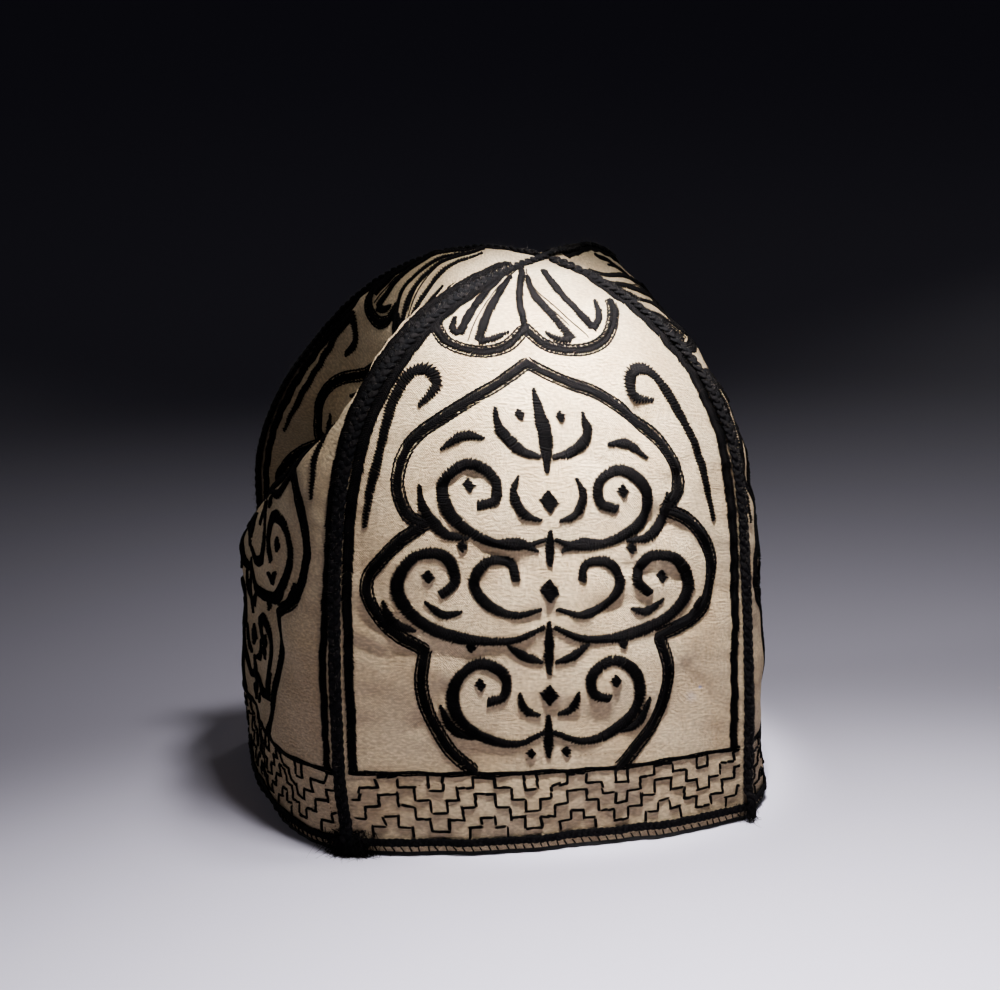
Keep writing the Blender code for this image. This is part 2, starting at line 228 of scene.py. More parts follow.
Stroke = namedtuple("Stroke", "points start middle end")        # its widths at three places
ROSETTE_RAYS = (
    Stroke(((-0.588, 0.906), (-0.456, 0.870), (-0.245, 0.738)), 1.8, 2.4, 2.6),
    Stroke(((-0.613, 0.874), (-0.575, 0.790), (-0.538, 0.707)), 1.2, 3.0, 3.4),
    Stroke(((-0.538, 0.707), (-0.450, 0.712), (-0.351, 0.726)), 3.2, 2.6, 0.7),
    Stroke(((-0.367, 0.869), (-0.140, 0.790), (0.099, 0.718)), 1.2, 3.0, 3.6),
    Stroke(((0.099, 0.718), (0.000, 0.718), (-0.095, 0.729)), 3.2, 2.6, 0.7),
    Stroke(((-0.778, 0.880), (-0.730, 0.800), (-0.682, 0.719)), 2.0, 3.0, 3.0),
    Stroke(((-0.682, 0.719), (-0.750, 0.730), (-0.805, 0.760)), 3.0, 2.4, 0.7),
    Stroke(((-0.144, 0.897), (0.060, 0.820), (0.267, 0.740)), 2.0, 3.0, 3.2),
    Stroke(((0.267, 0.740), (0.350, 0.765), (0.416, 0.813)), 3.0, 2.4, 0.7),
)
ROSETTE_LINES = (
    ((-0.686, 0.909), (-0.650, 0.810), (-0.610, 0.708)),
    ((-0.479, 0.903), (-0.130, 0.810), (0.217, 0.724)),
)
ROSETTE_LINE_GAP = 1.7       # between the two threads of each line
ROSETTE_LINE_THREAD = 0.62
HOOK_PLACES = (0.0, 0.08, 0.20, 0.36, 0.52, 0.86, 1.0)
HOOK_WIDTHS = (1.0, 3.2, 4.4, 3.8, 2.9, 2.5, 0.8)
HOOK_RAGGED = 1.9            # how much longer its teeth are than those of other strokes
LINE_OVERRUN = 1.0           # past the field's corners, so that its two lines meet there
BORDER_AWAY = {"left": 4.4, "right": 5.5}       # from a gore's seam to its border, low down
BORDER_CLOSED = 3.65         # and high up, where it closes up with the braid
BORDER_CLOSES = (0.24, 0.40)
BORDER_WANDER = 0.10
BORDER_END = 0.93
BORDER_UPS = (0.10, 0.34, 0.50, 0.80, 0.93)
BORDER_WIDTHS = (3.1, 3.4, 3.9, 3.8, 2.2)

# Scrolls and leaves that fill the field, in millimetres on the flat cloth: x from the field's
# own axis, y up from the rim. Each is sewn twice, the second time mirrored, unless it lies on
# the axis.
SCROLLS = (
    # the upper lobe: a volute with a leaf on its back and a plume over it
    Stroke(((1.5, 107), (11, 104.5), (23, 107), (33, 114), (34, 124), (26, 130), (18, 126),
            (18, 119), (24, 117)), 1.6, 4.4, 3.4),
    Stroke(((27, 106.5), (35, 108), (41, 115), (42, 123)), 1.0, 4.2, 0.8),
    Stroke(((2, 133), (9, 135), (15, 141), (15, 148)), 1.4, 4.4, 0.8),
    Stroke(((3, 113), (9, 115), (12, 121), (10, 127)), 1.0, 3.6, 0.8),
    Stroke(((21, 138), (28, 138.5), (35, 134)), 0.9, 3.6, 0.8),
    # the middle lobe: a wide volute outside a small one
    Stroke(((1.5, 78), (13, 73.5), (29, 74.5), (43, 80), (50, 90), (45, 100), (35, 101),
            (31, 93), (36, 88)), 1.6, 4.6, 3.6),
    Stroke(((2.5, 84), (11, 82), (20, 85), (25, 92), (21, 99), (13, 99), (11, 93)),
           1.3, 4.0, 3.0),
    Stroke(((44, 76.5), (51, 79), (54.5, 86)), 0.9, 3.8, 0.8),
    Stroke(((4, 103), (11, 106), (20, 105.5)), 0.9, 3.6, 0.8),
    Stroke(((29, 83), (35, 82), (41, 86)), 0.9, 3.2, 0.8),
    # the lower lobe: a volute with a leaf on its back
    Stroke(((1.5, 42), (11, 38.5), (22, 41), (31, 49), (31, 60), (23, 66), (15, 62), (15, 55),
            (21, 53)), 1.6, 4.4, 3.4),
    Stroke(((25, 40.5), (32, 44), (36, 52)), 0.9, 3.8, 0.8),
    Stroke(((2, 66), (8, 68), (14, 72)), 1.0, 3.6, 0.8),
    Stroke(((3, 48), (8, 50), (10, 56)), 0.9, 3.2, 0.8),
)
STEMS = (
    Stroke(((0, 33), (0, 48)), 0.9, 3.8, 1.2),
    Stroke(((0, 62), (0, 80)), 1.2, 3.6, 1.2),
    Stroke(((0, 98), (0, 110)), 1.2, 3.6, 1.2),
    Stroke(((0, 128), (0, 155)), 1.2, 5.6, 0.7),
)
Diamond = namedtuple("Diamond", "x y size")
DIAMONDS = (
    Diamond(0, 55, 7.0),
    Diamond(0, 90, 7.5),
    Diamond(0, 119, 7.0),
    Diamond(7, 146, 3.6),
    Diamond(40, 94, 4.4),
    Diamond(26, 123, 4.2),
    Diamond(23, 59, 4.2),
    Diamond(29, 104, 3.8),
    Diamond(26, 71.5, 3.8),
    Diamond(6, 35, 3.4),
)
FIELD_AXIS_UP = (0.12, 0.46, 0.57, 0.676)
FIELD_AXIS_ACROSS = (-0.04, -0.02, -0.05, -0.19)

# Stepped zigzags in the band above the rim. Corners are shares of one repeat from a peak,
# levels are shares of the band's height, from the rim braid to the line that ends the band.
BAND_TOP_UP = 0.117
BAND_BOTTOM = 6.4
BAND_REPEAT = 0.442
BAND_PEAK = 0.09
Zigzag = namedtuple("Zigzag", "corners levels open_level")  # nothing is sewn at its open level
ZIGZAGS = (
    Zigzag((0.109, 0.283, 0.424), (0.94, 0.785, 0.585, 0.40), None),
    Zigzag((0.103, 0.255, 0.413), (0.69, 0.49, 0.29, 0.10), None),
    Zigzag((0.071, 0.207), (0.33, 0.17, 0.0), 0.0),
    Zigzag((0.430,), (0.97, 0.754), 0.97),
)
ZIGZAG_MM = np.array([0.015, 0.044])          # one millimetre on the band, as across and level
ZIGZAG_WOBBLE = 0.26                          # how far a run's ends stray
ZIGZAG_STITCH = 4.5                           # a run longer than this takes two stitches
ZIGZAG_END = 3.1                              # from the seam to where a cut run ends
ZIGZAG_STRANDS = (-0.18, 0.18)                # aside from a run, its two threads
ZIGZAG_OVERLAP = 0.06                         # of a run, past both its ends
BAND_LINE_LEVELS = (0.975, 1.0, 1.022)

# Hem stitches, frayed braid ends and the marks of threads that have been taken out
HEM_STITCH_PITCH = 2.9
HEM_STITCH_HEIGHT = 2.3      # of its middle
HEM_STITCH_LEAN = 0.55       # half of its reach along the edge
HEM_STITCH_UP = 0.95         # its reach above its middle
HEM_STITCH_DOWN = 1.1        # and below it
HEM_END = 0.985              # across, where the last stitch beside a seam may lie
HEM_PLACES = 90
HEM_THREAD = 0.62
Foot = namedtuple("Foot", "seam hairs loose spread reach ridge")
FOOT_UP = 0.004              # where the seam's way out is taken
FOOT_HEIGHTS = (0.6, 9.0)
FOOT_OUT = (0.8, 4.4)        # from the seam to the roots of the hairs
FOOT_HAIR = 0.16
LOOSE_HAIR = 0.07
FRAYED_FEET = (
    Foot("fl", 640, 26, 3.7, 6.0, 0.30),
    Foot("fr", 90, 5, 1.8, 3.4, 0.45),
    Foot("br", 80, 4, 1.8, 3.2, 0.45),
    Foot("bl", 80, 4, 1.8, 3.2, 0.45),
)
FUZZ_HAIRS = 950
FUZZ_HAIR = 0.035
FUZZ_REACH = 2.3             # to each side of the braid's middle
FUZZ_LONGEST = 3.2
FUZZ_ROOT = 1.9              # height of the roots above the seam, in the braid's middle
HAIR_RINGS = 4
FIBRE_GREY = (0.07, 0.065, 0.065)
FIBRE_BROWN = (0.20, 0.16, 0.13)
MarkRow = namedtuple("MarkRow", "gore across up to_across to_up pitch length width")
MARK_ROWS = (
    MarkRow("front", -0.30, 0.134, 0.34, 0.140, 1.7, 0.55, 0.26),
    MarkRow("front", -0.26, 0.146, 0.30, 0.151, 2.3, 0.50, 0.24),
    MarkRow("left", 0.925, 0.108, 0.955, 0.030, 1.35, 0.50, 0.42),
    MarkRow("front", -0.66, 0.100, -0.52, 0.103, 2.2, 0.50, 0.36),
    MarkRow("right", -0.20, 0.140, 0.20, 0.137, 1.9, 0.50, 0.25),
    MarkRow("back", -0.30, 0.138, 0.10, 0.141, 2.0, 0.50, 0.25),
)
MARK_BROWN = (0.10, 0.055, 0.03)
MARK_PALE = (0.26, 0.16, 0.09)

# Stains soaked into the cloth, in millimetres from a gore's middle and up from the rim
Stain = namedtuple("Stain", "gore x y radius strength colour")
STAINS = (
    Stain("front", 54.0, 52.0, 1.5, 0.75, (0.20, 0.22, 0.42)),
    Stain("front", 50.0, 49.0, 4.5, 0.25, (0.40, 0.36, 0.44)),
    Stain("front", -44.0, 104.0, 5.0, 0.35, (0.42, 0.30, 0.18)),
    Stain("front", 18.0, 152.0, 4.0, 0.30, (0.46, 0.33, 0.20)),
    Stain("front", -52.0, 64.0, 3.0, 0.40, (0.40, 0.26, 0.14)),
    Stain("right", 20.0, 60.0, 8.0, 0.30, (0.42, 0.30, 0.18)),
    Stain("back", -30.0, 96.0, 7.0, 0.35, (0.42, 0.30, 0.18)),
    Stain("left", 30.0, 48.0, 5.0, 0.35, (0.42, 0.30, 0.18)),
)
GORE_SHIFT = 300.0           # keeps the gores apart in the weave's coordinates
SPOT_COLOUR = (0.30, 0.19, 0.10)
SLUB_STRETCH = (0.62, 1.3, 1.0)         # slubs are long across the cloth
# painted shade between the threads of the weave, where they dip under each other
GAP_SHADE = (0.52, 0.46, 0.40)          # between the threads
WORN_SHADE = (0.80, 0.73, 0.64)

# Camera and floor in metres, lens and sensor in millimetres
CAMERA_PLACE = (-0.2631, -1.0307, 0.3478)
CAMERA_AIM = (0.24067, 0.94418, -0.22495)
CAMERA_LENS = 112.18
SENSOR_WIDTH = 36.0
FLOOR_REACH = 9.0
SKY_COLOUR = (0.80, 0.80, 1.0)

# Lights. Power names the setting that each one follows, and share is its part of it. Places
# and sizes are in metres, spreads in degrees.
Lamp = namedtuple("Lamp", "name power share place aim size spread")
LAMPS = (
    Lamp("key_light", "key", 1.0, (0.02, -0.245, 0.62), (0.025, -0.40, 0.0), 0.12, 82),
    Lamp("overhead_light", "key", 0.215, (0.10, -0.08, 0.70), (0.14, -0.11, 0.0), 0.12, 101),
    Lamp("crown_light", "key", 0.16, (0.0, -0.17, 0.42), (0.005, -0.060, 0.160), 0.06, 22),
    Lamp("right_light", "key", 0.028, (0.90, -0.30, 1.60), (0.60, 0.90, 0.0), 1.0, 80),
    Lamp("back_left_light", "back", 1.0, (-1.10, 2.10, 0.35), (0.08, 0.0, 0.12), 0.35, 12),
    Lamp("back_right_light", "back", 1.0, (1.60, 1.80, 0.35), (0.0, 0.0, 0.10), 0.35, 12),
    Lamp("left_light", "back", 0.26, (-1.00, -0.12, 0.45), (-0.02, 0.0, 0.150), 0.20, 15),
)


# The cloth's surface

def curve_through(rows, share):
    """Catmull-Rom curve through evenly spaced rows, at the given shares of its length."""
    rows = np.asarray(rows, float)
    spans = len(rows) - 1
    place = np.clip(np.asarray(share, float), 0.0, 1.0) * spans
    first = np.minimum(place.astype(int), spans - 1)
    t = (place - first)[..., None]
    padded = np.vstack([2 * rows[0] - rows[1], rows, 2 * rows[-1] - rows[-2]])
    a, b, c, d = (padded[first + step] for step in range(4))
    return 0.5 * (2 * b + (c - a) * t + (2 * a - 5 * b + 4 * c - d) * t ** 2
                  + (3 * b - a - 3 * c + d) * t ** 3)


def seam_point(seam, up):
    """Points of one seam at shares of its length from the rim."""
    rows = [(getattr(row, seam + "_reach"), getattr(row, seam + "_height")) for row in SEAM_ROWS]
    reach_height = curve_through(rows, up)
    bearing = math.radians(SEAM_BEARING[seam])
    foot = CORNER_REACH * np.array([math.cos(bearing), math.sin(bearing)])
    reach = reach_height[..., :1]
    plan = np.array(APEX[:2]) * (1 - reach) + foot * reach + np.array(PLAN_SHIFT)
    return np.concatenate([plan, reach_height[..., 1:]], axis=-1)


def bell(offset, below, above, below_wall=2, above_wall=2):
    """1 at an offset of 0, falling away over one width below it and another above."""
    width = np.where(offset < 0, below, above)
    wall = np.where(offset < 0, below_wall, above_wall)
    return np.exp(-np.abs(offset / width) ** wall)


def dent_depth(name, across, up):
    """How far a gore is pushed in."""
    depth = np.zeros(np.shape(across))
    for dent in DENTS:
        if dent.gore == name:
            aside = across - dent.across
            held = 1 - np.abs(across) ** np.where(across < 0, dent.left_grip, dent.right_grip)
            depth = depth + (dent.depth * held
                             * bell(up - dent.up - dent.slope * aside, dent.below, dent.above)
                             * bell(aside, dent.left, dent.right, dent.left_wall,
                                    dent.right_wall))
    return depth * np.clip((1 - up) / APEX_GRIP, 0, 1) ** APEX_EASE


def flat_place(name, across, up):
    """Rough millimetres on the cloth: sideways from a gore's middle, and up from the rim."""
    gore = GORES[name]
    width = np.linalg.norm(seam_point(gore.right, up) - seam_point(gore.left, up), axis=-1)
    return across * width / 2, up * GORE_LENGTH


def fold_depth(name, across, up):
    """Small folds and the cloth's own unevenness."""
    turn = GORE_TURN * list(GORES).index(name)
    x, y = flat_place(name, across, up)
    depth = np.zeros(np.shape(across))
    for fold in FOLDS:
        if fold.gore == name:
            x0, y0 = flat_place(name, fold.across, np.array(fold.up))
            x1, y1 = flat_place(name, fold.to_across, np.array(fold.to_up))
            dx, dy = x1 - x0, y1 - y0
            along = np.clip(((x - x0) * dx + (y - y0) * dy) / (dx * dx + dy * dy), 0, 1)
            away = np.hypot(x - x0 - along * dx, y - y0 - along * dy)
            depth = depth + fold.depth * np.exp(-(away / fold.width) ** 2)
    for count, ripple in enumerate(RIPPLES):
        bearing = ripple.bearing + turn
        wave = (x * math.cos(bearing) + y * math.sin(bearing)) / ripple.length
        depth = depth + ripple.height * np.sin(2 * math.pi * wave + turn + count)
    puff = np.sin(2 * math.pi * x / BAND_PUFF_SIZE + y / 3)
    puff = puff * np.sin(2 * math.pi * y / BAND_PUFF_SIZE)
    return depth + BAND_PUFF * puff * np.clip(BAND_TOP_UP * GORE_LENGTH - y, 0, 2) / 2


def seam_puckers(name, across, up):
    """Short puckers that sewing the braid leaves beside a seam."""
    turn = GORE_TURN * list(GORES).index(name)
    x, y = flat_place(name, across, up)
    edge = np.abs(x) * (1 / np.maximum(np.abs(across), 0.01) - 1)
    hump = edge / PUCKER_REACH * np.exp(1 - edge / PUCKER_REACH)
    wander = 0.8 * np.sin(y / 13.0 + turn) + 0.5 * np.sin(y / 5.1 + 2 * turn)
    return PUCKER_HEIGHT * hump * np.sin(2 * math.pi * y / PUCKER_LENGTH + wander)


def drawn_in(name, across, up):
    """The groove under the field's outline, and the swell of the cloth beside it."""
    x, y = flat_place(name, across, up)
    away = np.full(x.shape, 100.0)
    for points in FIELD_LEFT + FIELD_RIGHT + ROSETTE_LOBES:
        path = smooth_path(points, 8)
        for path_x, path_y in zip(*flat_place(name, path[:, 0], path[:, 1])):
            away = np.minimum(away, (x - path_x) ** 2 + (y - path_y) ** 2)
    away = np.sqrt(away)
    uneven = 1 + 0.45 * np.sin(x / 7.3 + 1.1) * np.sin(y / 9.1)
    crest = np.exp(-((away - GROOVE_REACH) / GROOVE_REACH * 2) ** 2)
    return GROOVE_DEPTH * uneven * (np.exp(-(away / GROOVE_WIDTH) ** 2) - 0.6 * crest)


@functools.lru_cache
def relief(name):
    """Depth of everything that is smaller than a dent, over the whole of a gore."""
    across, up = np.meshgrid(np.linspace(-1, 1, RELIEF_COLUMNS), np.linspace(0, 1, RELIEF_ROWS))
    free = fold_depth(name, across, up) + drawn_in(name, across, up)
    depth = free * (1 - np.abs(across) ** FOLD_HOLD) + seam_puckers(name, across, up)
    return depth * np.clip((1 - up) / FOLD_TOP, 0, 1)


def relief_depth(name, across, up):
    """The relief at any place, read between its worked-out ones."""
    depths = relief(name)
    column = np.clip((across + 1) / 2, 0, 1) * (RELIEF_COLUMNS - 1)
    row = np.clip(up, 0, 1) * (RELIEF_ROWS - 1)
    left = np.minimum(column.astype(int), RELIEF_COLUMNS - 2)
    below = np.minimum(row.astype(int), RELIEF_ROWS - 2)
    over, rise = column - left, row - below
    low = depths[below, left] * (1 - over) + depths[below, left + 1] * over
    high = depths[below + 1, left] * (1 - over) + depths[below + 1, left + 1] * over
    return low * (1 - rise) + high * rise


def cloth_point(name, across, up):
    """Outer surface of a gore: between its two seams, swollen outwards, dented and folded."""
    gore = GORES[name]
    across, up = np.broadcast_arrays(np.asarray(across, float), np.asarray(up, float))
    step = 0.001
    low = np.minimum(up, 1 - 2 * step)
    left = seam_point(gore.left, up)
    right = seam_point(gore.right, up)
    low_left = seam_point(gore.left, low)
    low_right = seam_point(gore.right, low)
    rise = (seam_point(gore.left, low + step) + seam_point(gore.right, low + step)
            - low_left - low_right)
    outward = np.cross(low_right - low_left, rise)
    outward /= np.linalg.norm(outward, axis=-1, keepdims=True)
    swell = curve_through(np.array([gore[2:7]]).T, up)[..., 0]
    reach = np.minimum(np.abs(across), 1.0)
    out = (swell * (1 - reach ** gore.fullness) - dent_depth(name, across, up)
           - relief_depth(name, across, up))
    share = (across[..., None] + 1) / 2
    return left * (1 - share) + right * share + outward * out[..., None]


def eased(share):
    """A share from 0 to 1 that starts and ends gently."""
    share = np.clip(share, 0, 1)
    return share * share * (3 - 2 * share)


def lengths_along(points):
    """How far along a path each of its points lies."""
    steps = np.linalg.norm(np.diff(points, axis=0), axis=1)
    return np.concatenate([[0], np.cumsum(steps)])


def unit(vectors):
    """Vectors brought to a length of 1."""
    return vectors / np.maximum(np.linalg.norm(vectors, axis=-1, keepdims=True), 1e-9)


def cloth_frame(name, across, up):
    """Points of a gore, how they move with across and with up, and the way out."""
    step = 0.002
    middle_across = np.clip(across, -1 + step, 1 - step)
    middle_up = np.clip(up, step, 1 - 0.005)
    over = (cloth_point(name, middle_across + step, middle_up)
            - cloth_point(name, middle_across - step, middle_up)) / (2 * step)
    rise = (cloth_point(name, middle_across, middle_up + step)
            - cloth_point(name, middle_across, middle_up - step)) / (2 * step)
    return cloth_point(name, across, up), over, rise, unit(np.cross(over, rise))


def slide(over, rise, move):
    """Changes of across and up that move points of the cloth by these millimetres."""
    aa = np.sum(over * over, axis=-1)
    bb = np.sum(rise * rise, axis=-1)
    ab = np.sum(over * rise, axis=-1)
    am = np.sum(over * move, axis=-1)
    bm = np.sum(rise * move, axis=-1)
    scale = aa * bb - ab * ab
    return np.stack([(am * bb - bm * ab) / scale, (bm * aa - am * ab) / scale], axis=-1)


def up_at_height(name, across, height):
    """Share of the gore's height at which its outer surface is this high above the floor."""
    low = np.zeros(np.shape(across))
    high = np.full(np.shape(across), SEARCH_TOP)
    for _ in range(SEARCH_STEPS):
        middle = (low + high) / 2
        below = cloth_point(name, across, middle)[..., 2] < height
        low = np.where(below, middle, low)
        high = np.where(below, high, middle)
    return middle


def across_beside_seam(name, on_left, up, distance):
    """Places at a distance from a gore's left or right seam, measured on the cloth."""
    inward = np.linspace(0, 0.45, 46)
    across = (inward - 1) if on_left else (1 - inward)
    points = cloth_point(name, across[None, :], np.asarray(up)[:, None])
    steps = np.linalg.norm(np.diff(points, axis=1), axis=-1)
    lengths = np.concatenate([np.zeros((len(up), 1)), np.cumsum(steps, axis=1)], axis=1)
    return np.array([np.interp(away, length, across)
                     for away, length in zip(np.broadcast_to(distance, np.shape(up)), lengths)])


# Meshes

def new_piece(name, points, faces, materials, slots=None, marks=None):
    """A smooth-shaded piece from points in millimetres. Faces are arrays of corner numbers,
    one array for each number of corners. Marks are values that its materials read."""
    mesh = bpy.data.meshes.new(name)
    corners = np.concatenate([group.ravel() for group in faces]).astype(np.int32)
    sizes = np.concatenate([np.full(len(group), group.shape[1]) for group in faces])
    starts = np.concatenate([[0], np.cumsum(sizes)[:-1]]).astype(np.int32)
    mesh.vertices.add(len(points))
    mesh.vertices.foreach_set("co", (np.asarray(points) * MM).astype(np.float32).ravel())
    mesh.loops.add(len(corners))
    mesh.loops.foreach_set("vertex_index", corners)
    mesh.polygons.add(len(sizes))
    mesh.polygons.foreach_set("loop_start", starts)
    mesh.update(calc_edges=True)
    for material in materials:
        mesh.materials.append(material)
    if slots is not None:
        mesh.polygons.foreach_set("material_index", slots.astype(np.int32))
    for mark, values in (marks or {}).items():
        kind = "FLOAT" if values.ndim == 1 else "FLOAT_VECTOR"
        layer = mesh.attributes.new(mark, kind, "POINT")
        field = "value" if values.ndim == 1 else "vector"
        layer.data.foreach_set(field, values.astype(np.float32).ravel())
    mesh.shade_smooth()
    mesh.validate()
    piece = bpy.data.objects.new(name, mesh)
    bpy.context.scene.collection.objects.link(piece)
    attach(piece, "root")
    return piece


class Bundle:
    """Threads gathered into one mesh."""

    def __init__(self):
        self.points = []
        self.quads = []
        self.caps = {}
        self.twist = []
        self.shade = []
        self.count = 0

    def add(self, centres, radii, normals, sides, shades, closed=False, flatness=1.0):
        """Tubes through rows of centres. Normals set which way each tube's top faces."""
        tubes, rings = centres.shape[:2]
        if closed:
            tangents = np.roll(centres, -1, axis=1) - np.roll(centres, 1, axis=1)
            steps = np.linalg.norm(np.roll(centres, -1, axis=1) - centres, axis=-1)
        else:
            tangents = np.gradient(centres, axis=1)
            steps = np.linalg.norm(np.diff(centres, axis=1), axis=-1)
            steps = np.concatenate([steps, steps[:, -1:]], axis=1)
        tangents = unit(tangents)
        beside = unit(np.cross(tangents, np.broadcast_to(normals, centres.shape)))
        top = np.cross(beside, tangents)
        angle = 2 * np.pi * np.arange(sides) / sides
        cosine = np.cos(angle)[:, None]
        sine = np.sin(angle)[:, None]
        radii = np.broadcast_to(radii, (tubes, rings))[..., None, None]
        ring = (centres[:, :, None] + radii * (cosine * flatness * top[:, :, None]
                                               + sine * beside[:, :, None]))
        along = np.cumsum(steps, axis=1) - steps
        twist = np.empty((tubes, rings, sides, 3))
        twist[..., 0] = along[..., None]
        twist[..., 1] = np.cos(angle)
        twist[..., 2] = np.sin(angle)
        tube = np.arange(tubes)[:, None, None] * rings * sides
        row = np.arange(rings if closed else rings - 1)[None, :, None]
        side = np.arange(sides)[None, None, :]
        after = (side + 1) % sides
        above = (row + 1) % rings
        quads = np.stack([tube + row * sides + side, tube + row * sides + after,
                          tube + above * sides + after, tube + above * sides + side], axis=-1)
        self.quads.append(quads.reshape(-1, 4) + self.count)
        if not closed:
            start = tube[:, :, 0] + np.arange(sides)[::-1]
            end = tube[:, :, 0] + (rings - 1) * sides + np.arange(sides)
            self.caps.setdefault(sides, []).extend([start + self.count, end + self.count])
        shades = np.reshape(shades, (tubes, -1, 1)) * np.ones((tubes, rings, sides))
        self.points.append(ring.reshape(-1, 3))
        self.twist.append(twist.reshape(-1, 3))
        self.shade.append(shades.ravel())
        self.count += tubes * rings * sides

    def piece(self, name, material, slot):
        """The finished piece."""
        groups = {4: list(self.quads)}
        for sides, caps in self.caps.items():
            groups.setdefault(sides, []).extend(caps)
        faces = [np.concatenate(group) for group in groups.values()]
        triangles = sum(len(group) * (group.shape[1] - 2) for group in faces)
        if triangles > TRIANGLE_LIMIT:
            raise RuntimeError(f"{name} has {triangles} triangles")
        marks = {"twist": np.concatenate(self.twist), "shade": np.concatenate(self.shade)}
        made = new_piece(name, np.concatenate(self.points), faces, [material], marks=marks)
        return made


# Stitches

# Four places along a thread. It dips into the cloth at its ends, and is thin and worn there.
STITCH_SHARES = np.array([0.0, 0.20, 0.80, 1.0])
STITCH_LIFTS = np.array([-0.30, 0.62, 0.62, -0.30])
STITCH_WIDTHS = np.array([0.42, 1.02, 1.02, 0.42])
STITCH_WEAR = np.array([1.0, 0.15, 0.15, 1.0])
STITCH_SIDES = 3
STEM_STITCH = 2.6
STEM_PITCH = 0.66 * STEM_STITCH          # shorter than a stitch, so that they overlap


def even_places(name, path, pitch):
    """Places at even steps along a path, measured on the cloth, and each one's share of it."""
    points = cloth_point(name, path[:, 0], path[:, 1])
    length = lengths_along(points)
    count = max(int(round(length[-1] / pitch)), 2)
    share = (np.arange(count) + 0.5) / count
    across = np.interp(share * length[-1], length, path[:, 0])
    up = np.interp(share * length[-1], length, path[:, 1])
    return across, up, share


def smooth_path(points, per_span=20):
    """A dense smooth curve through a few places."""
    return curve_through(points, np.linspace(0, 1, (len(points) - 1) * per_span + 1))


def shifted_path(name, path, distance):
    """A path this far to the right of another, measured on the cloth."""
    points, over, rise, normal = cloth_frame(name, path[:, 0], path[:, 1])
    beside = np.cross(unit(np.gradient(points, axis=0)), normal)
    return path + slide(over, rise, beside * np.reshape(distance, (-1, 1)))


def lay_between(bundle, name, starts, ends, radius, arch, rng, wear=1.0):
    """Threads laid on the cloth, each between two places on it."""
    share = STITCH_SHARES
    across = starts[:, :1] * (1 - share) + ends[:, :1] * share
    up = starts[:, 1:] * (1 - share) + ends[:, 1:] * share
    normal = cloth_frame(name, across[:, 1:3].mean(axis=1), up[:, 1:3].mean(axis=1))[3]
    thick = radius * rng.uniform(0.88, 1.12, len(starts))
    lift = thick[:, None] * STITCH_LIFTS + arch * np.sin(np.pi * share)
    centres = cloth_point(name, across, np.clip(up, 0.0, 0.999))
    centres = centres + normal[:, None] * lift[..., None]
    shades = rng.uniform(0, 0.6, len(starts))[:, None] + 0.4 * wear * STITCH_WEAR
    bundle.add(centres, thick[:, None] * STITCH_WIDTHS, normal[:, None], STITCH_SIDES, shades)


def lay_stitches(bundle, name, across, up, starts, ends, radius, arch, rng, wear=1.0):
    """Threads on the cloth, each from one offset to another round its place."""
    _, over, rise, _ = cloth_frame(name, across, up)
    here = np.stack([across, up], axis=1)
    lay_between(bundle, name, here + slide(over, rise, starts), here + slide(over, rise, ends),
                radius, arch, rng, wear)


def stitch_places(name, path, pitch):
    """Even places along a path with the directions there: along it and to its right."""
    across, up, share = even_places(name, path, pitch)
    point, _, _, normal = cloth_frame(name, across, up)
    along = unit(np.gradient(point, axis=0))
    return across, up, share, along, np.cross(along, normal)


def width_along(share, start, middle, end):
    """A stroke's width: it swells from its start to its middle and narrows to its end."""
    first = start + (middle - start) * np.sin(np.clip(share / 0.45, 0, 1) * np.pi / 2)
    second = end + (middle - end) * np.cos(np.clip((share - 0.45) / 0.55, 0, 1) * np.pi / 2)
    return np.where(share < 0.45, first, second)


def satin(bundle, name, path, widths, settings, rng, ragged=1.0):
    """Close stitches over a stroke, long and short in turn, so that its edges are ragged."""
    across, up, share, along, right = stitch_places(name, path, settings.pitch / MM)
    width = widths(share)
    wobble = 1 + 0.07 * np.sin(share * 23.0 + rng.uniform(0, 6)) + rng.normal(0, 0.03, len(share))
    reach = (width * wobble / 2)[:, None]
    teeth = ragged * settings.teeth / MM * (np.arange(len(share)) % 2 - 0.5)[:, None]
    loose = rng.normal(0, 0.08, (4, len(share), 1))
    lean = 0.20 * reach
    starts = -right * (reach + teeth + loose[0]) + along * (lean + loose[2])
    ends = right * (reach - teeth + loose[1]) - along * (lean + loose[3])
    lay_stitches(bundle, name, across, up, starts, ends, settings.thread / MM / 2,
                 0.12 + 0.06 * float(np.mean(width)), rng)


def chevron(bundle, name, path, width, settings, rng):
    """Stitches from both edges that cross the middle line and point back along the path."""
    pitch = settings.line_pitch / MM
    across, up, share, along, right = stitch_places(name, path, pitch)
    reach = np.reshape(width(share) if callable(width) else np.full(len(share), width), (-1, 1)) / 2
    for side, shift in ((-1, 0.0), (1, 0.5)):
        loose = rng.normal(0, 0.14, (2, len(share), 1))
        starts = right * side * (reach + loose[0]) + along * (shift * pitch - 0.30 * reach)
        ends = -right * side * (0.35 + loose[1]) + along * (shift * pitch + 0.55 * reach)
        lay_stitches(bundle, name, across, up, starts, ends, settings.line_thread / MM / 2, 0.18,
                     rng)


def stem(bundle, name, path, width, rng, slant=0.16):
    """A thin line of long stitches that overlap like the strands of a rope."""
    across, up, share, along, right = stitch_places(name, path, STEM_PITCH)
    loose = rng.normal(0, 0.06, (2, len(share), 1))
    starts = -along * STEM_STITCH / 2 - right * (slant * width + loose[0])
    ends = along * STEM_STITCH / 2 + right * (slant * width + loose[1])
    lay_stitches(bundle, name, across, up, starts, ends, 0.40 * width, 0.08, rng, wear=0.6)


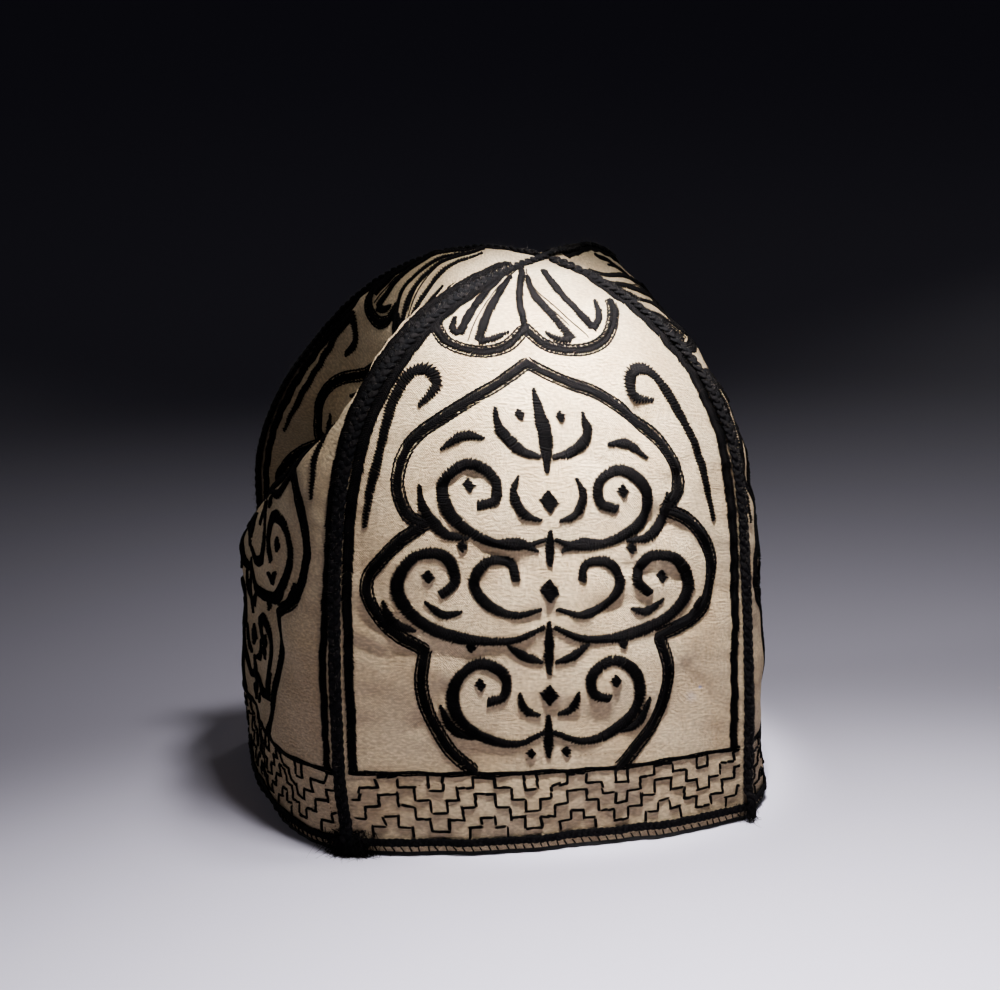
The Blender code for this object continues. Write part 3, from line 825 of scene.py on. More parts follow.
def lengthened(name, path, distance):
    """A path carried on straight past both its ends."""
    points = cloth_point(name, path[:, 0], path[:, 1])
    first = distance / np.linalg.norm(points[1] - points[0])
    last = distance / np.linalg.norm(points[-1] - points[-2])
    return np.concatenate([path[:1] + (path[:1] - path[1:2]) * first, path,
                           path[-1:] + (path[-1:] - path[-2:-1]) * last])


def field_line(bundle, name, points, settings, rng):
    """The field's outline: a thick chevron line between two thin ones, whose stitches touch it
    at one end and leave slits of cloth at the other."""
    path = smooth_path(points)
    chevron(bundle, name, lengthened(name, path, LINE_OVERRUN), settings.line / MM, settings, rng)
    for side, slant in ((-1, 0.42), (1, 0.30)):
        beside = shifted_path(name, path, side * settings.line_gap / MM)
        stem(bundle, name, beside, settings.fine / MM, rng, slant=slant)


def sew_stroke(bundle, name, path, stroke, settings, rng):
    """One filled stroke along a path."""
    satin(bundle, name, path, lambda share: width_along(share, *stroke[1:]), settings, rng)


def hook_width(share):
    """A hook's width: pointed at its tip, thick round its curl and drawn out to its foot."""
    return np.interp(share, HOOK_PLACES, HOOK_WIDTHS)


def border_width(up):
    """Width of the bands beside the seams, which narrow towards the apex."""
    return np.interp(up, BORDER_UPS, BORDER_WIDTHS)


def sew_motif(name, settings, rng):
    """One gore's field outline, hooks and rosette."""
    bundle = Bundle()
    for side in (FIELD_LEFT, FIELD_RIGHT):
        for points in side:
            field_line(bundle, name, points, settings, rng)
    for points in (HOOK_LEFT, HOOK_RIGHT):
        satin(bundle, name, smooth_path(points), hook_width, settings, rng, HOOK_RAGGED)
    for points in ROSETTE_LOBES:
        field_line(bundle, name, points, settings, rng)
    for ray in ROSETTE_RAYS:
        sew_stroke(bundle, name, smooth_path(ray.points), ray, settings, rng)
    for points in ROSETTE_LINES:
        path = smooth_path(points)
        beside = shifted_path(name, path[:-6], ROSETTE_LINE_GAP)
        for line in (path, beside):
            stem(bundle, name, line, ROSETTE_LINE_THREAD, rng)
    return bundle


def field_place(x, y):
    """Across and up of a point that is drawn in millimetres on the flat cloth."""
    up = np.asarray(y, float) / GORE_LENGTH
    width = np.linalg.norm(seam_point("fl", up) - seam_point("fr", up), axis=-1)
    axis = np.interp(up, FIELD_AXIS_UP, FIELD_AXIS_ACROSS)
    return np.stack([axis + 2 * np.asarray(x, float) / width, up], axis=-1)


def sew_scrolls(name, settings, rng):
    """Scrolls, leaves, stems and diamonds inside one gore's field."""
    bundle = Bundle()
    for stroke in SCROLLS + STEMS:
        flat = smooth_path(np.array(stroke.points, float))
        for side in ((1,) if stroke in STEMS else (-1, 1)):
            path = field_place(side * flat[:, 0], flat[:, 1])
            sew_stroke(bundle, name, path, stroke, settings, rng)
    for diamond in DIAMONDS:
        for side in ((1,) if diamond.x == 0 else (-1, 1)):
            reach = diamond.size / 2
            low_high = np.linspace(-reach, reach, 12)
            path = field_place(np.full(12, side * diamond.x), diamond.y + low_high)
            satin(bundle, name, path,
                  lambda share, size=diamond.size: 0.5 + size * (1 - np.abs(2 * share - 1)),
                  settings, rng)
    return bundle


def sew_borders(name, settings, rng):
    """The two chevron bands that run up beside one gore's seams."""
    bundle = Bundle()
    up = np.linspace(BAND_TOP_UP, BORDER_END, 150)
    closes_from, closed_at = BORDER_CLOSES
    closing = eased((up - closes_from) / (closed_at - closes_from))
    for side, start in (("left", 2.0), ("right", 5.0)):
        away = BORDER_AWAY[side] * (1 - closing) + BORDER_CLOSED * closing
        wander = BORDER_WANDER * np.sin(up * 61.0 + start)
        across = across_beside_seam(name, side == "left", up, away + wander)
        path = np.stack([across, up], axis=1)
        chevron(bundle, name, path,
                lambda share: border_width(BAND_TOP_UP + share * (BORDER_END - BAND_TOP_UP)),
                settings, rng)
    return bundle


def zigzag_corners(zigzag):
    """Corners of one stepped zigzag over the whole of a gore, as across and level."""
    corners = []
    start = BAND_PEAK - 4 * BAND_REPEAT
    steps = list(enumerate(zigzag.corners))
    for repeat in range(9):
        peak = start + repeat * BAND_REPEAT
        for index, corner in reversed(steps):
            corners.append((peak - corner * BAND_REPEAT, zigzag.levels[index + 1]))
            corners.append((peak - corner * BAND_REPEAT, zigzag.levels[index]))
        for index, corner in steps:
            corners.append((peak + corner * BAND_REPEAT, zigzag.levels[index]))
            corners.append((peak + corner * BAND_REPEAT, zigzag.levels[index + 1]))
    return np.array(corners)


def zigzag_runs(zigzag, edge):
    """The straight runs of one zigzag that are sewn, cut off beside the seams."""
    corners = zigzag_corners(zigzag)
    for here, there in zip(corners, corners[1:]):
        outside = min(here[0], there[0]) > edge or max(here[0], there[0]) < -edge
        if outside or here[1] == there[1] == zigzag.open_level:
            continue
        yield np.clip(here, (-edge, 0), (edge, 1)), np.clip(there, (-edge, 0), (edge, 1))


def zigzag_stitches(edge, rng):
    """Starts and ends of the stitches of all the zigzags, two threads side by side."""
    starts, ends = [], []
    for zigzag in ZIGZAGS:
        for here, there in zigzag_runs(zigzag, edge):
            length = np.abs(there - here) / ZIGZAG_MM
            aside = (np.roll(length, 1) > 0.01) * ZIGZAG_MM
            astray = rng.normal(0, ZIGZAG_WOBBLE, (2, 2)) * ZIGZAG_MM
            count = 2 if length.max() > ZIGZAG_STITCH else 1
            for step in range(count):
                for strand in ZIGZAG_STRANDS:
                    loose = rng.normal(0, 0.08, (2, 2)) * ZIGZAG_MM
                    begin = here + (there - here) * (step / count - ZIGZAG_OVERLAP)
                    finish = here + (there - here) * ((step + 1) / count + ZIGZAG_OVERLAP)
                    starts.append(begin + astray[0] + aside * strand + loose[0])
                    ends.append(finish + astray[1] + aside * strand + loose[1])
    return np.array(starts), np.array(ends)


def sew_band(name, settings, rng):
    """The stepped zigzags above the rim braid and the line that ends the band."""
    bundle = Bundle()
    sample = np.linspace(-1, 1, 81)
    foot = up_at_height(name, sample, np.full(81, BAND_BOTTOM))

    def band_place(place):
        """Across and up of places in the band, given as across and level."""
        low = np.interp(place[:, 0], sample, foot)
        return np.stack([place[:, 0], low + (BAND_TOP_UP - low) * place[:, 1]], axis=1)

    edge = -across_beside_seam(name, True, np.array([0.06]), ZIGZAG_END)[0]
    starts, ends = zigzag_stitches(edge, rng)
    lay_between(bundle, name, band_place(starts), band_place(ends), settings.fine / MM * 0.42,
                0.12, rng)
    across = np.linspace(-edge, edge, 80)
    for level in BAND_LINE_LEVELS:
        line = np.stack([across, level + 0.008 * np.sin(across * 31.0 + level * 40.0)], axis=1)
        stem(bundle, name, band_place(line), settings.fine / MM, rng)
    return bundle


# Braids

def smoothed(rows, reach, closed=False):
    """Rows averaged with their neighbours."""
    kernel = np.hanning(2 * reach + 3)[1:-1]
    kernel /= kernel.sum()
    if closed:
        padded = np.concatenate([rows[-reach:], rows, rows[:reach]])
    else:
        padded = np.concatenate([np.repeat(rows[:1], reach, 0), rows,
                                 np.repeat(rows[-1:], reach, 0)])
    return np.stack([np.convolve(padded[:, axis], kernel, "valid") for axis in range(3)], axis=1)


def along_evenly(points, others, count, closed=False):
    """Points at even steps, with the other rows taken at the same places."""
    if closed:
        points = np.concatenate([points, points[:1]])
        others = [np.concatenate([other, other[:1]]) for other in others]
    length = lengths_along(points)
    if closed:
        places = np.arange(count) / count * length[-1]
    else:
        places = np.linspace(0, length[-1], count)
    rows = [np.stack([np.interp(places, length, row[:, axis]) for axis in range(row.shape[1])],
                     axis=1) for row in [points] + others]
    return rows, length[-1]


def plait(bundle, rows, turns, half_width, radius, weave, base, rng, closed=False):
    """Strands that pass over and under each other along a path. Rows are the path's points,
    the way to its right, the way out, and how far it bends down beside a ridge."""
    points, right, out, bend = rows
    count = len(points)
    share = np.arange(count) / count if closed else np.linspace(0, 1, count)
    crossings = PLAIT_STRANDS - 1
    centres = []
    for strand in range(PLAIT_STRANDS):
        turn = 2 * np.pi * (turns * share + strand / PLAIT_STRANDS)
        side = half_width * np.sin(turn) * (1 + 0.10 * np.cos(2 * turn))
        high = base + weave * np.sin(crossings * turn)
        high = high + 0.05 * np.sin(turn * 0.37 + 2 * strand)
        side = side + 0.08 * np.sin(turn * 0.23 + strand)
        drop = np.sqrt(side * side + 0.8) - math.sqrt(0.8)
        centres.append(points + right * (side * bend[:, 0])[:, None]
                       + out * (high - drop * bend[:, 1])[:, None])
    centres = np.array(centres)
    normals = np.broadcast_to(out, centres.shape)
    bundle.add(centres, np.full(centres.shape[:2], radius), normals, PLAIT_SIDES,
               rng.uniform(0.1, 0.6, PLAIT_STRANDS), closed=closed, flatness=PLAIT_FLATNESS)


def gore_beside(seam, on_left_of_seam):
    """The gore that lies to the left or the right of a seam, seen from outside."""
    for name, gore in GORES.items():
        if (gore.right if on_left_of_seam else gore.left) == seam:
            return name
    raise ValueError(seam)


def frames_beside(seam, up):
    """The cloth just to the left and just to the right of a seam, as cloth_frame gives it."""
    edge = np.full(np.shape(up), SEAM_SIDE)
    return (cloth_frame(gore_beside(seam, True), edge, up),
            cloth_frame(gore_beside(seam, False), -edge, up))


def seam_rows(seam, from_up, to_up, upwards):
    """A seam's points, the way out, and how far a braid on it bends down beside the ridge."""
    up = np.linspace(from_up, to_up, BRAID_SAMPLES)
    left, right = (place[3] for place in frames_beside(seam, up))
    points = seam_point(seam, up)
    out = unit(left + right)
    bend_cosine = np.sum(left * out, axis=1)
    bend = np.stack([bend_cosine, np.sqrt(np.clip(1 - bend_cosine ** 2, 0, 1))], axis=1)
    height = points[:, 2]
    clear = RIM_BRAID_HEIGHT + RIM_BRAID_WIDTH / 2 + 1.0
    lift = eased(1 - (height - clear) / 4.0) * (RIM_BRAID_THICKNESS + GAP)
    points = points + out * lift[:, None]
    if not upwards:
        points, out, bend = points[::-1], out[::-1], bend[::-1]
    return points, out, bend


def plait_seam(name, material, parts, settings, rng):
    """A plaited braid along one seam, or up one and down another."""
    rows = [seam_rows(*part) for part in parts]
    points = np.concatenate([row[0] for row in rows])
    out = np.concatenate([row[1] for row in rows])
    bend = np.concatenate([row[2] for row in rows])
    if len(parts) > 1:
        middle = len(rows[0][0])
        near = np.abs(np.arange(len(points)) - middle) < 14
        points[near] = smoothed(points, 6)[near]
    out = unit(smoothed(out, 4))
    (points, out, bend), length = along_evenly(points, [out, bend], BRAID_RINGS * len(parts))
    out = unit(out)
    along = unit(np.gradient(points, axis=0))
    right = unit(np.cross(along, out))
    radius = settings.strand / MM / 2
    turns = round(length / (settings.plait / MM))
    bundle = Bundle()
    half = settings.width / MM / 2 - radius
    plait(bundle, (points, right, out, bend), turns, half, radius, PLAIT_WEAVE,
          GAP * 0.3 + PLAIT_FLATNESS * radius + 0.42, rng)
    return bundle.piece(name, material, "black_braid")


def rim_rows(height, steps):
    """Points all round the hat at one height, the way up the cloth and the way out."""
    points, rise, out = [], [], []
    for name in GORES:
        across = np.linspace(-1, 1, steps + 1)[:-1]
        up = up_at_height(name, across, np.full(steps, height))
        here, _, upwards, normal = cloth_frame(name, across, up)
        points.append(here)
        rise.append(unit(upwards))
        out.append(normal)
    return [np.concatenate(rows) for rows in (points, rise, out)]


# Materials

def new_material(name, colour, roughness):
    """A material with its shader and an empty place for more nodes."""
    material = bpy.data.materials.new(name)
    material.use_nodes = True
    nodes = material.node_tree.nodes
    shader = nodes["Principled BSDF"]
    shader.inputs["Base Color"].default_value = (*colour, 1.0)
    shader.inputs["Roughness"].default_value = roughness
    return material, nodes, material.node_tree.links, shader


def add_node(nodes, kind, **values):
    """A node with its settings and input values set."""
    node = nodes.new(kind)
    for name, value in values.items():
        if hasattr(node, name):
            setattr(node, name, value)
        else:
            node.inputs[name.replace("_", " ")].default_value = value
    return node


def maths(nodes, links, operation, *values):
    """A maths node on sockets or numbers."""
    node = nodes.new("ShaderNodeMath")
    node.operation = operation
    for index, value in enumerate(values):
        if isinstance(value, (int, float)):
            node.inputs[index].default_value = value
        else:
            links.new(value, node.inputs[index])
    return node.outputs[0]


def ramp(nodes, links, factor, stops):
    """A colour ramp with (place, colour) stops."""
    node = nodes.new("ShaderNodeValToRGB")
    elements = node.color_ramp.elements
    while len(elements) < len(stops):
        elements.new(0.5)
    for element, (place, colour) in zip(elements, stops):
        element.position = place
        element.color = (*colour, 1.0)
    links.new(factor, node.inputs["Fac"])
    return node.outputs["Color"]


def noise(nodes, links, place, scale, detail, **more):
    """A noise read at a place."""
    node = add_node(nodes, "ShaderNodeTexNoise", Scale=scale, Detail=detail, **more)
    links.new(place, node.inputs["Vector"])
    return node.outputs["Fac"]


def relief_from(nodes, links, shader, height, strength, depth):
    """Bumps in the shader's surface from a height."""
    bump = add_node(nodes, "ShaderNodeBump", Strength=strength, Distance=depth)
    links.new(height, bump.inputs["Height"])
    links.new(bump.outputs["Normal"], shader.inputs["Normal"])


def blend(nodes, links, factor, first, second, mode="MIX"):
    """Two colours mixed."""
    node = nodes.new("ShaderNodeMix")
    node.data_type = "RGBA"
    node.blend_type = mode
    for socket, value in ((node.inputs["Factor"], factor), (node.inputs[6], first),
                          (node.inputs[7], second)):
        if isinstance(value, (int, float)):
            socket.default_value = value
        elif isinstance(value, tuple):
            socket.default_value = (*value, 1.0)
        else:
            links.new(value, socket)
    return node.outputs[2]


def soaked(nodes, links, place, grain, base, stain):
    """The cloth's colour with one round stain in it, uneven at its edge."""
    centre = (stain.x + GORE_SHIFT * list(GORES).index(stain.gore), stain.y, 0.0)
    away = nodes.new("ShaderNodeVectorMath")
    away.operation = "DISTANCE"
    away.inputs[1].default_value = centre
    links.new(place, away.inputs[0])
    size = maths(nodes, links, "DIVIDE", away.outputs["Value"], stain.radius)
    uneven = maths(nodes, links, "ADD", size, maths(nodes, links, "MULTIPLY", grain, 0.8))
    amount = ramp(nodes, links, uneven, ((0.45, (stain.strength,) * 3), (1.0, (0, 0, 0))))
    return blend(nodes, links, amount, base, stain.colour)


def stained(nodes, links, place, grain, base, amount):
    """The cloth's colour with faint spots all over and the stains that show singly."""
    spots = ramp(nodes, links, noise(nodes, links, place, 0.11, 2.0),
                 ((0.66, (0, 0, 0)), (0.74, (1, 1, 1))))
    base = blend(nodes, links, maths(nodes, links, "MULTIPLY", spots, amount), base, SPOT_COLOUR)
    for stain in STAINS:
        base = soaked(nodes, links, place, grain, base, stain)
    return base


def crossed_threads(nodes, links, place, pitch):
    """Warp and weft as waves that cross, up where a thread lies on top. Neither runs straight."""
    split = nodes.new("ShaderNodeSeparateXYZ")
    links.new(place, split.inputs[0])
    drift = maths(nodes, links, "MULTIPLY", noise(nodes, links, place, 0.35, 2.0), 0.9)
    waves = []
    for axis, closeness in (("X", 1.0), ("Y", 0.9)):
        thread = maths(nodes, links, "ADD", split.outputs[axis], drift)
        turn = maths(nodes, links, "MULTIPLY", thread, 2 * math.pi / pitch * closeness)
        waves.append(maths(nodes, links, "SINE", turn))
    return maths(nodes, links, "MULTIPLY", *waves)


def woven(name, colour, settings, dark=0.66, stains=0.0, nap=0.06):
    """Plain-woven cloth: warp and weft with slubs and painted shade between the threads, a short
    nap, faint soiling.
    """
    material, nodes, links, shader = new_material(name, colour, 0.9)
    place = add_node(nodes, "ShaderNodeAttribute", attribute_name="weave").outputs["Vector"]
    weave = crossed_threads(nodes, links, place, settings.weave / MM)
    stretch = nodes.new("ShaderNodeVectorMath")
    stretch.operation = "MULTIPLY"
    stretch.inputs[1].default_value = SLUB_STRETCH
    links.new(place, stretch.inputs[0])
    slub = noise(nodes, links, stretch.outputs[0], 1.0, 3.0)
    fuzz = noise(nodes, links, place, 1.05, 3.0)
    patch = noise(nodes, links, place, 0.045, 4.0, Roughness=0.6)
    shade = tuple(channel * dark for channel in colour)
    light = tuple(min(channel * 1.08, 1.0) for channel in colour)
    base = ramp(nodes, links, slub, ((0.41, shade), (0.58, light)))
    # painted shade in the gaps, darker where the threads dip under each other
    painted_gap_shade = ramp(nodes, links, maths(nodes, links, "MULTIPLY_ADD", weave, 0.5, 0.5),
                ((0.05, GAP_SHADE), (0.50, (1.0, 1.0, 1.0))))
    base = blend(nodes, links, 0.90, base, painted_gap_shade, "MULTIPLY")
    grain = ramp(nodes, links, fuzz, ((0.46, (0, 0, 0)), (0.63, (0.80,) * 3)))
    base = blend(nodes, links, grain, base, shade)
    worn = ramp(nodes, links, patch, ((0.35, WORN_SHADE), (0.62, (1.0, 1.0, 1.0))))
    base = blend(nodes, links, 0.80, base, worn, "MULTIPLY")
    if stains:
        base = stained(nodes, links, place, fuzz, base, stains)
    links.new(base, shader.inputs["Base Color"])
    height = maths(nodes, links, "ADD", maths(nodes, links, "MULTIPLY", weave, 0.5),
                   maths(nodes, links, "MULTIPLY", slub, 2.8))
    height = maths(nodes, links, "ADD", height, maths(nodes, links, "MULTIPLY", fuzz, 3.0))
    relief_from(nodes, links, shader, height, 1.0, 0.00070)
    shader.inputs["Sheen Weight"].default_value = nap
    shader.inputs["Sheen Roughness"].default_value = 0.45
    shader.inputs["Specular IOR Level"].default_value = 0.25
    return material


def spun(name, colour, brown, twist):
    """Spun thread: its plies wind round it, and single stitches differ a little."""
    material, nodes, links, shader = new_material(name, colour, 0.80)
    mark = add_node(nodes, "ShaderNodeAttribute", attribute_name="twist")
    split = nodes.new("ShaderNodeSeparateXYZ")
    links.new(mark.outputs["Vector"], split.inputs[0])
    turn = maths(nodes, links, "MULTIPLY", split.outputs["X"], 2 * math.pi / twist)
    first = maths(nodes, links, "MULTIPLY", maths(nodes, links, "SINE", turn), split.outputs["Y"])
    second = maths(nodes, links, "MULTIPLY", maths(nodes, links, "COSINE", turn),
                   split.outputs["Z"])
    ply = maths(nodes, links, "ADD", first, second)
    place = nodes.new("ShaderNodeTexCoord").outputs["Object"]
    fuzz = noise(nodes, links, place, 5000.0, 3.0)
    patch = noise(nodes, links, place, 90.0, 3.0)
    single = add_node(nodes, "ShaderNodeAttribute", attribute_name="shade").outputs["Fac"]
    mixed = maths(nodes, links, "ADD", maths(nodes, links, "MULTIPLY", single, 0.7),
                  maths(nodes, links, "MULTIPLY", patch, 0.4))
    base = ramp(nodes, links, mixed, ((0.35, colour), (0.90, brown)))
    links.new(base, shader.inputs["Base Color"])
    height = maths(nodes, links, "ADD", ply, maths(nodes, links, "MULTIPLY", fuzz, 1.2))
    relief_from(nodes, links, shader, height, 0.9, 0.00010)
    shader.inputs["Specular IOR Level"].default_value = 0.015
    return material


def floor_finish(name, colour):
    """Matt seamless paper."""
    material, nodes, links, shader = new_material(name, colour, 0.7)
    place = nodes.new("ShaderNodeTexCoord").outputs["Object"]
    relief_from(nodes, links, shader, noise(nodes, links, place, 900.0, 2.0), 0.1, 0.0001)
    shader.inputs["Specular IOR Level"].default_value = 0.2
    return material


# Settings

def distance(label, about, default, **more):
    """A length in metres that shows with its unit."""
    return bpy.props.FloatProperty(name=label, description=about, default=default, min=0.0,
                                   precision=4, subtype="DISTANCE", unit="LENGTH", **more)


def colour(label, about, default):
    """A colour with a picker."""
    return bpy.props.FloatVectorProperty(name=label, description=about, default=default,
                                         size=3, min=0.0, max=1.0, subtype="COLOR")


class HAT_PG_cloth(bpy.types.PropertyGroup):
    """The wool gores"""
    wall: distance("Wall", "Thickness of wool, wadding and backing together", 0.0020)
    weave: distance("Weave", "Distance between the threads of the cloth", 0.00072)
    wool: colour("Wool", "Colour of the clean cloth", (0.66, 0.492, 0.292))
    lining: colour("Lining", "Colour of the cotton inside", (0.44, 0.33, 0.22))
    tape: colour("Tape", "Colour of the strip that binds the edge", (0.006, 0.0055, 0.0055))
    columns: bpy.props.IntProperty(name="Columns", description="Faces across a gore",
                                   default=94, min=8, max=200)
    rows: bpy.props.IntProperty(name="Rows", description="Faces up a gore",
                                default=126, min=8, max=240)


class HAT_PG_embroidery(bpy.types.PropertyGroup):
    """The stitched ornament"""
    thread: distance("Thread", "Thickness of the thread of filled strokes", 0.00090)
    pitch: distance("Pitch", "Distance between neighbouring stitches there", 0.00052)
    teeth: distance("Teeth", "Difference between long and short stitches", 0.00034)
    line_thread: distance("Line thread", "Thickness of the thread of chevron lines", 0.00092)
    line_pitch: distance("Line pitch", "Distance between neighbouring stitches there", 0.00076)
    line: distance("Line", "Width of the field's thick line", 0.0030)
    line_gap: distance("Line gap", "From the thick line's middle to the thin ones", 0.00198)
    fine: distance("Fine line", "Width of a thin line", 0.00088)
    black: colour("Black", "Colour of the thread", (0.0022, 0.0020, 0.0022))
    brown: colour("Brown", "Colour of thread that the sun has bleached", (0.0045, 0.0036, 0.0034))


class HAT_PG_braid(bpy.types.PropertyGroup):
    """The plaited braid"""
    strand: distance("Strand", "Thickness of one strand", 0.0022)
    width: distance("Width", "Width of the braid on the seams", 0.0050)
    plait: distance("Plait", "Length over which a strand crosses and comes back", 0.0086)
    rim_strand: distance("Rim strand", "Thickness of a strand of the rim braid", 0.00145)
    rim_plait: distance("Rim plait", "Length of one plait of the rim braid", 0.0060)
    black: colour("Black", "Colour of the strands", (0.0026, 0.0025, 0.0028))
    brown: colour("Brown", "Colour of worn strands", (0.0065, 0.0055, 0.0055))


class HAT_PG_stage(bpy.types.PropertyGroup):
    """Floor and light"""
    floor: colour("Floor", "Colour of the floor", (0.67, 0.63, 0.76))
    key: bpy.props.FloatProperty(name="Key light", description="Power of the main light",
                                 default=3.6, min=0.0, subtype="POWER", unit="POWER")
    back: bpy.props.FloatProperty(name="Back lights", description="Power of the lights behind",
                                  default=0.10, min=0.0, subtype="POWER", unit="POWER")
    fill: bpy.props.FloatProperty(name="Fill", description="Strength of the light all round",
                                  default=0.008, min=0.0)


class HAT_PG_settings(bpy.types.PropertyGroup):
    """Everything that can be changed"""
    cloth: bpy.props.PointerProperty(type=HAT_PG_cloth)
    embroidery: bpy.props.PointerProperty(type=HAT_PG_embroidery)
    braid: bpy.props.PointerProperty(type=HAT_PG_braid)
    stage: bpy.props.PointerProperty(type=HAT_PG_stage)


def seeded(name):
    """Random numbers that are the same on each run, and differ from piece to piece."""
    return np.random.default_rng(sum(ord(letter) * place for place, letter in enumerate(name, 7)))


def material_once(name, make, *values, **more):
    """The material of this name, made the first time that it is asked for."""
    found = bpy.data.materials.get(name)
    return found or make(name, *values, **more)


def thread_material(context):
    """Black embroidery thread."""
    settings = context.scene.dervish_hat.embroidery
    return material_once("embroidery_thread", spun, tuple(settings.black),
                         tuple(settings.brown), 0.9)


def strand_material(context):
    """Black braid yarn."""
    settings = context.scene.dervish_hat.braid
    return material_once("braid_yarn", spun, tuple(settings.black), tuple(settings.brown), 1.3)


def sew_on_gores(context, kind, sew):
    """One kind of embroidery on each gore, as a piece of its own."""
    for name in GORES:
        bundle = sew(name, context.scene.dervish_hat.embroidery, seeded(kind + name))
        bundle.piece(f"stitched_{kind}_{name}", thread_material(context), "black_braid")


def shell_faces(columns, rows):
    """Faces of a closed shell between two grids of points: outside, inside and the edge."""
    wide = columns + 1
    half = wide * (rows + 1)
    corner = (np.arange(rows)[:, None] * wide + np.arange(columns)[None, :]).ravel()
    outside = np.stack([corner, corner + 1, corner + wide + 1, corner + wide], axis=1)
    ring = np.concatenate([np.arange(wide), np.arange(1, rows + 1) * wide + columns,
                           rows * wide + np.arange(columns - 1, -1, -1),
                           np.arange(rows - 1, 0, -1) * wide])
    after = np.roll(ring, -1)
    return outside, outside[:, ::-1] + half, np.stack([after, ring, ring + half, after + half],
                                                      axis=1)


def weave_places(name, points):
    """Where each point of a gore's grid lies in its cloth: across from its middle, and up."""
    middle = points.shape[1] // 2
    across_steps = np.linalg.norm(np.diff(points, axis=1), axis=-1)
    x = np.concatenate([np.zeros((len(points), 1)), np.cumsum(across_steps, axis=1)], axis=1)
    x = x - x[:, middle][:, None]
    y = lengths_along(points[:, middle])[:, None] * np.ones((1, points.shape[1]))
    shift = GORE_SHIFT * list(GORES).index(name)
    return np.stack([x + shift, y, np.zeros_like(x)], axis=-1).reshape(-1, 3)


# Operators

class HAT_OT_cloth(bpy.types.Operator):
    """Cut and sew the four wool gores"""
    bl_idname = "dervish_hat.cloth"
    bl_label = "Wool gores"

    def execute(self, context):
        settings = context.scene.dervish_hat.cloth
        wool = material_once("cream_wool_cloth", woven, tuple(settings.wool), settings,
                             stains=0.35)
        lining = material_once("cotton_lining", woven, tuple(settings.lining), settings,
                               nap=0.04)
        for name in GORES:
            self.gore(name, settings, wool, lining)
        return {"FINISHED"}

    def gore(self, name, settings, wool, lining):
        """One gore as a closed shell: wool outside, lining inside."""
        columns, rows = settings.columns, settings.rows
        spacing = np.linspace(-1, 1, columns + 1)
        spacing = spacing * (1 + SHELL_CROWDING * (1 - np.abs(spacing)))
        start = up_at_height(name, spacing, np.full(columns + 1, SHELL_FOOT))
        share = np.linspace(0, 1, rows + 1)[:, None]
        up = start * (1 - share) + SHELL_TOP * share
        across = np.broadcast_to(spacing * SHELL_SIDE, up.shape)
        outer, _, _, normal = cloth_frame(name, across, up)
        for column, seam in ((0, GORES[name].left), (-1, GORES[name].right)):
            left, right = (place[3] for place in frames_beside(seam, up[:, column]))
            normal[:, column] = (left + right) / (1 + np.sum(left * right, axis=1))[:, None]
        inner = outer - normal * settings.wall / MM
        inner[0, :, 2] = outer[0, :, 2]
        weave = weave_places(name, outer)
        faces = shell_faces(columns, rows)
        slots = np.repeat([0, 1, 0], [len(group) for group in faces])
        piece = new_piece("wool_gore_" + name,
                          np.concatenate([outer.reshape(-1, 3), inner.reshape(-1, 3)]),
                          [np.concatenate(faces)], [wool, lining], slots=slots,
                          marks={"weave": np.concatenate([weave, weave])})
        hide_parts(name + "_gore")


class HAT_OT_motif(bpy.types.Operator):
    """Stitch the outline of each gore's field, its hooks and its rosette"""
    bl_idname = "dervish_hat.motif"
    bl_label = "Field, hooks and rosette"

    def execute(self, context):
        sew_on_gores(context, "motif", sew_motif)
        return {"FINISHED"}


class HAT_OT_scrolls(bpy.types.Operator):
    """Stitch the scrolls and leaves that fill each field"""
    bl_idname = "dervish_hat.scrolls"
    bl_label = "Scrolls and leaves"

    def execute(self, context):
        sew_on_gores(context, "scrolls", sew_scrolls)
        return {"FINISHED"}


class HAT_OT_borders(bpy.types.Operator):
    """Stitch the chevron bands beside the seams"""
    bl_idname = "dervish_hat.borders"
    bl_label = "Seam borders"

    def execute(self, context):
        sew_on_gores(context, "borders", sew_borders)
        return {"FINISHED"}


class HAT_OT_band(bpy.types.Operator):
    """Stitch the stepped zigzags above the rim"""
    bl_idname = "dervish_hat.band"
    bl_label = "Zigzag band"

    def execute(self, context):
        sew_on_gores(context, "band", sew_band)
        return {"FINISHED"}


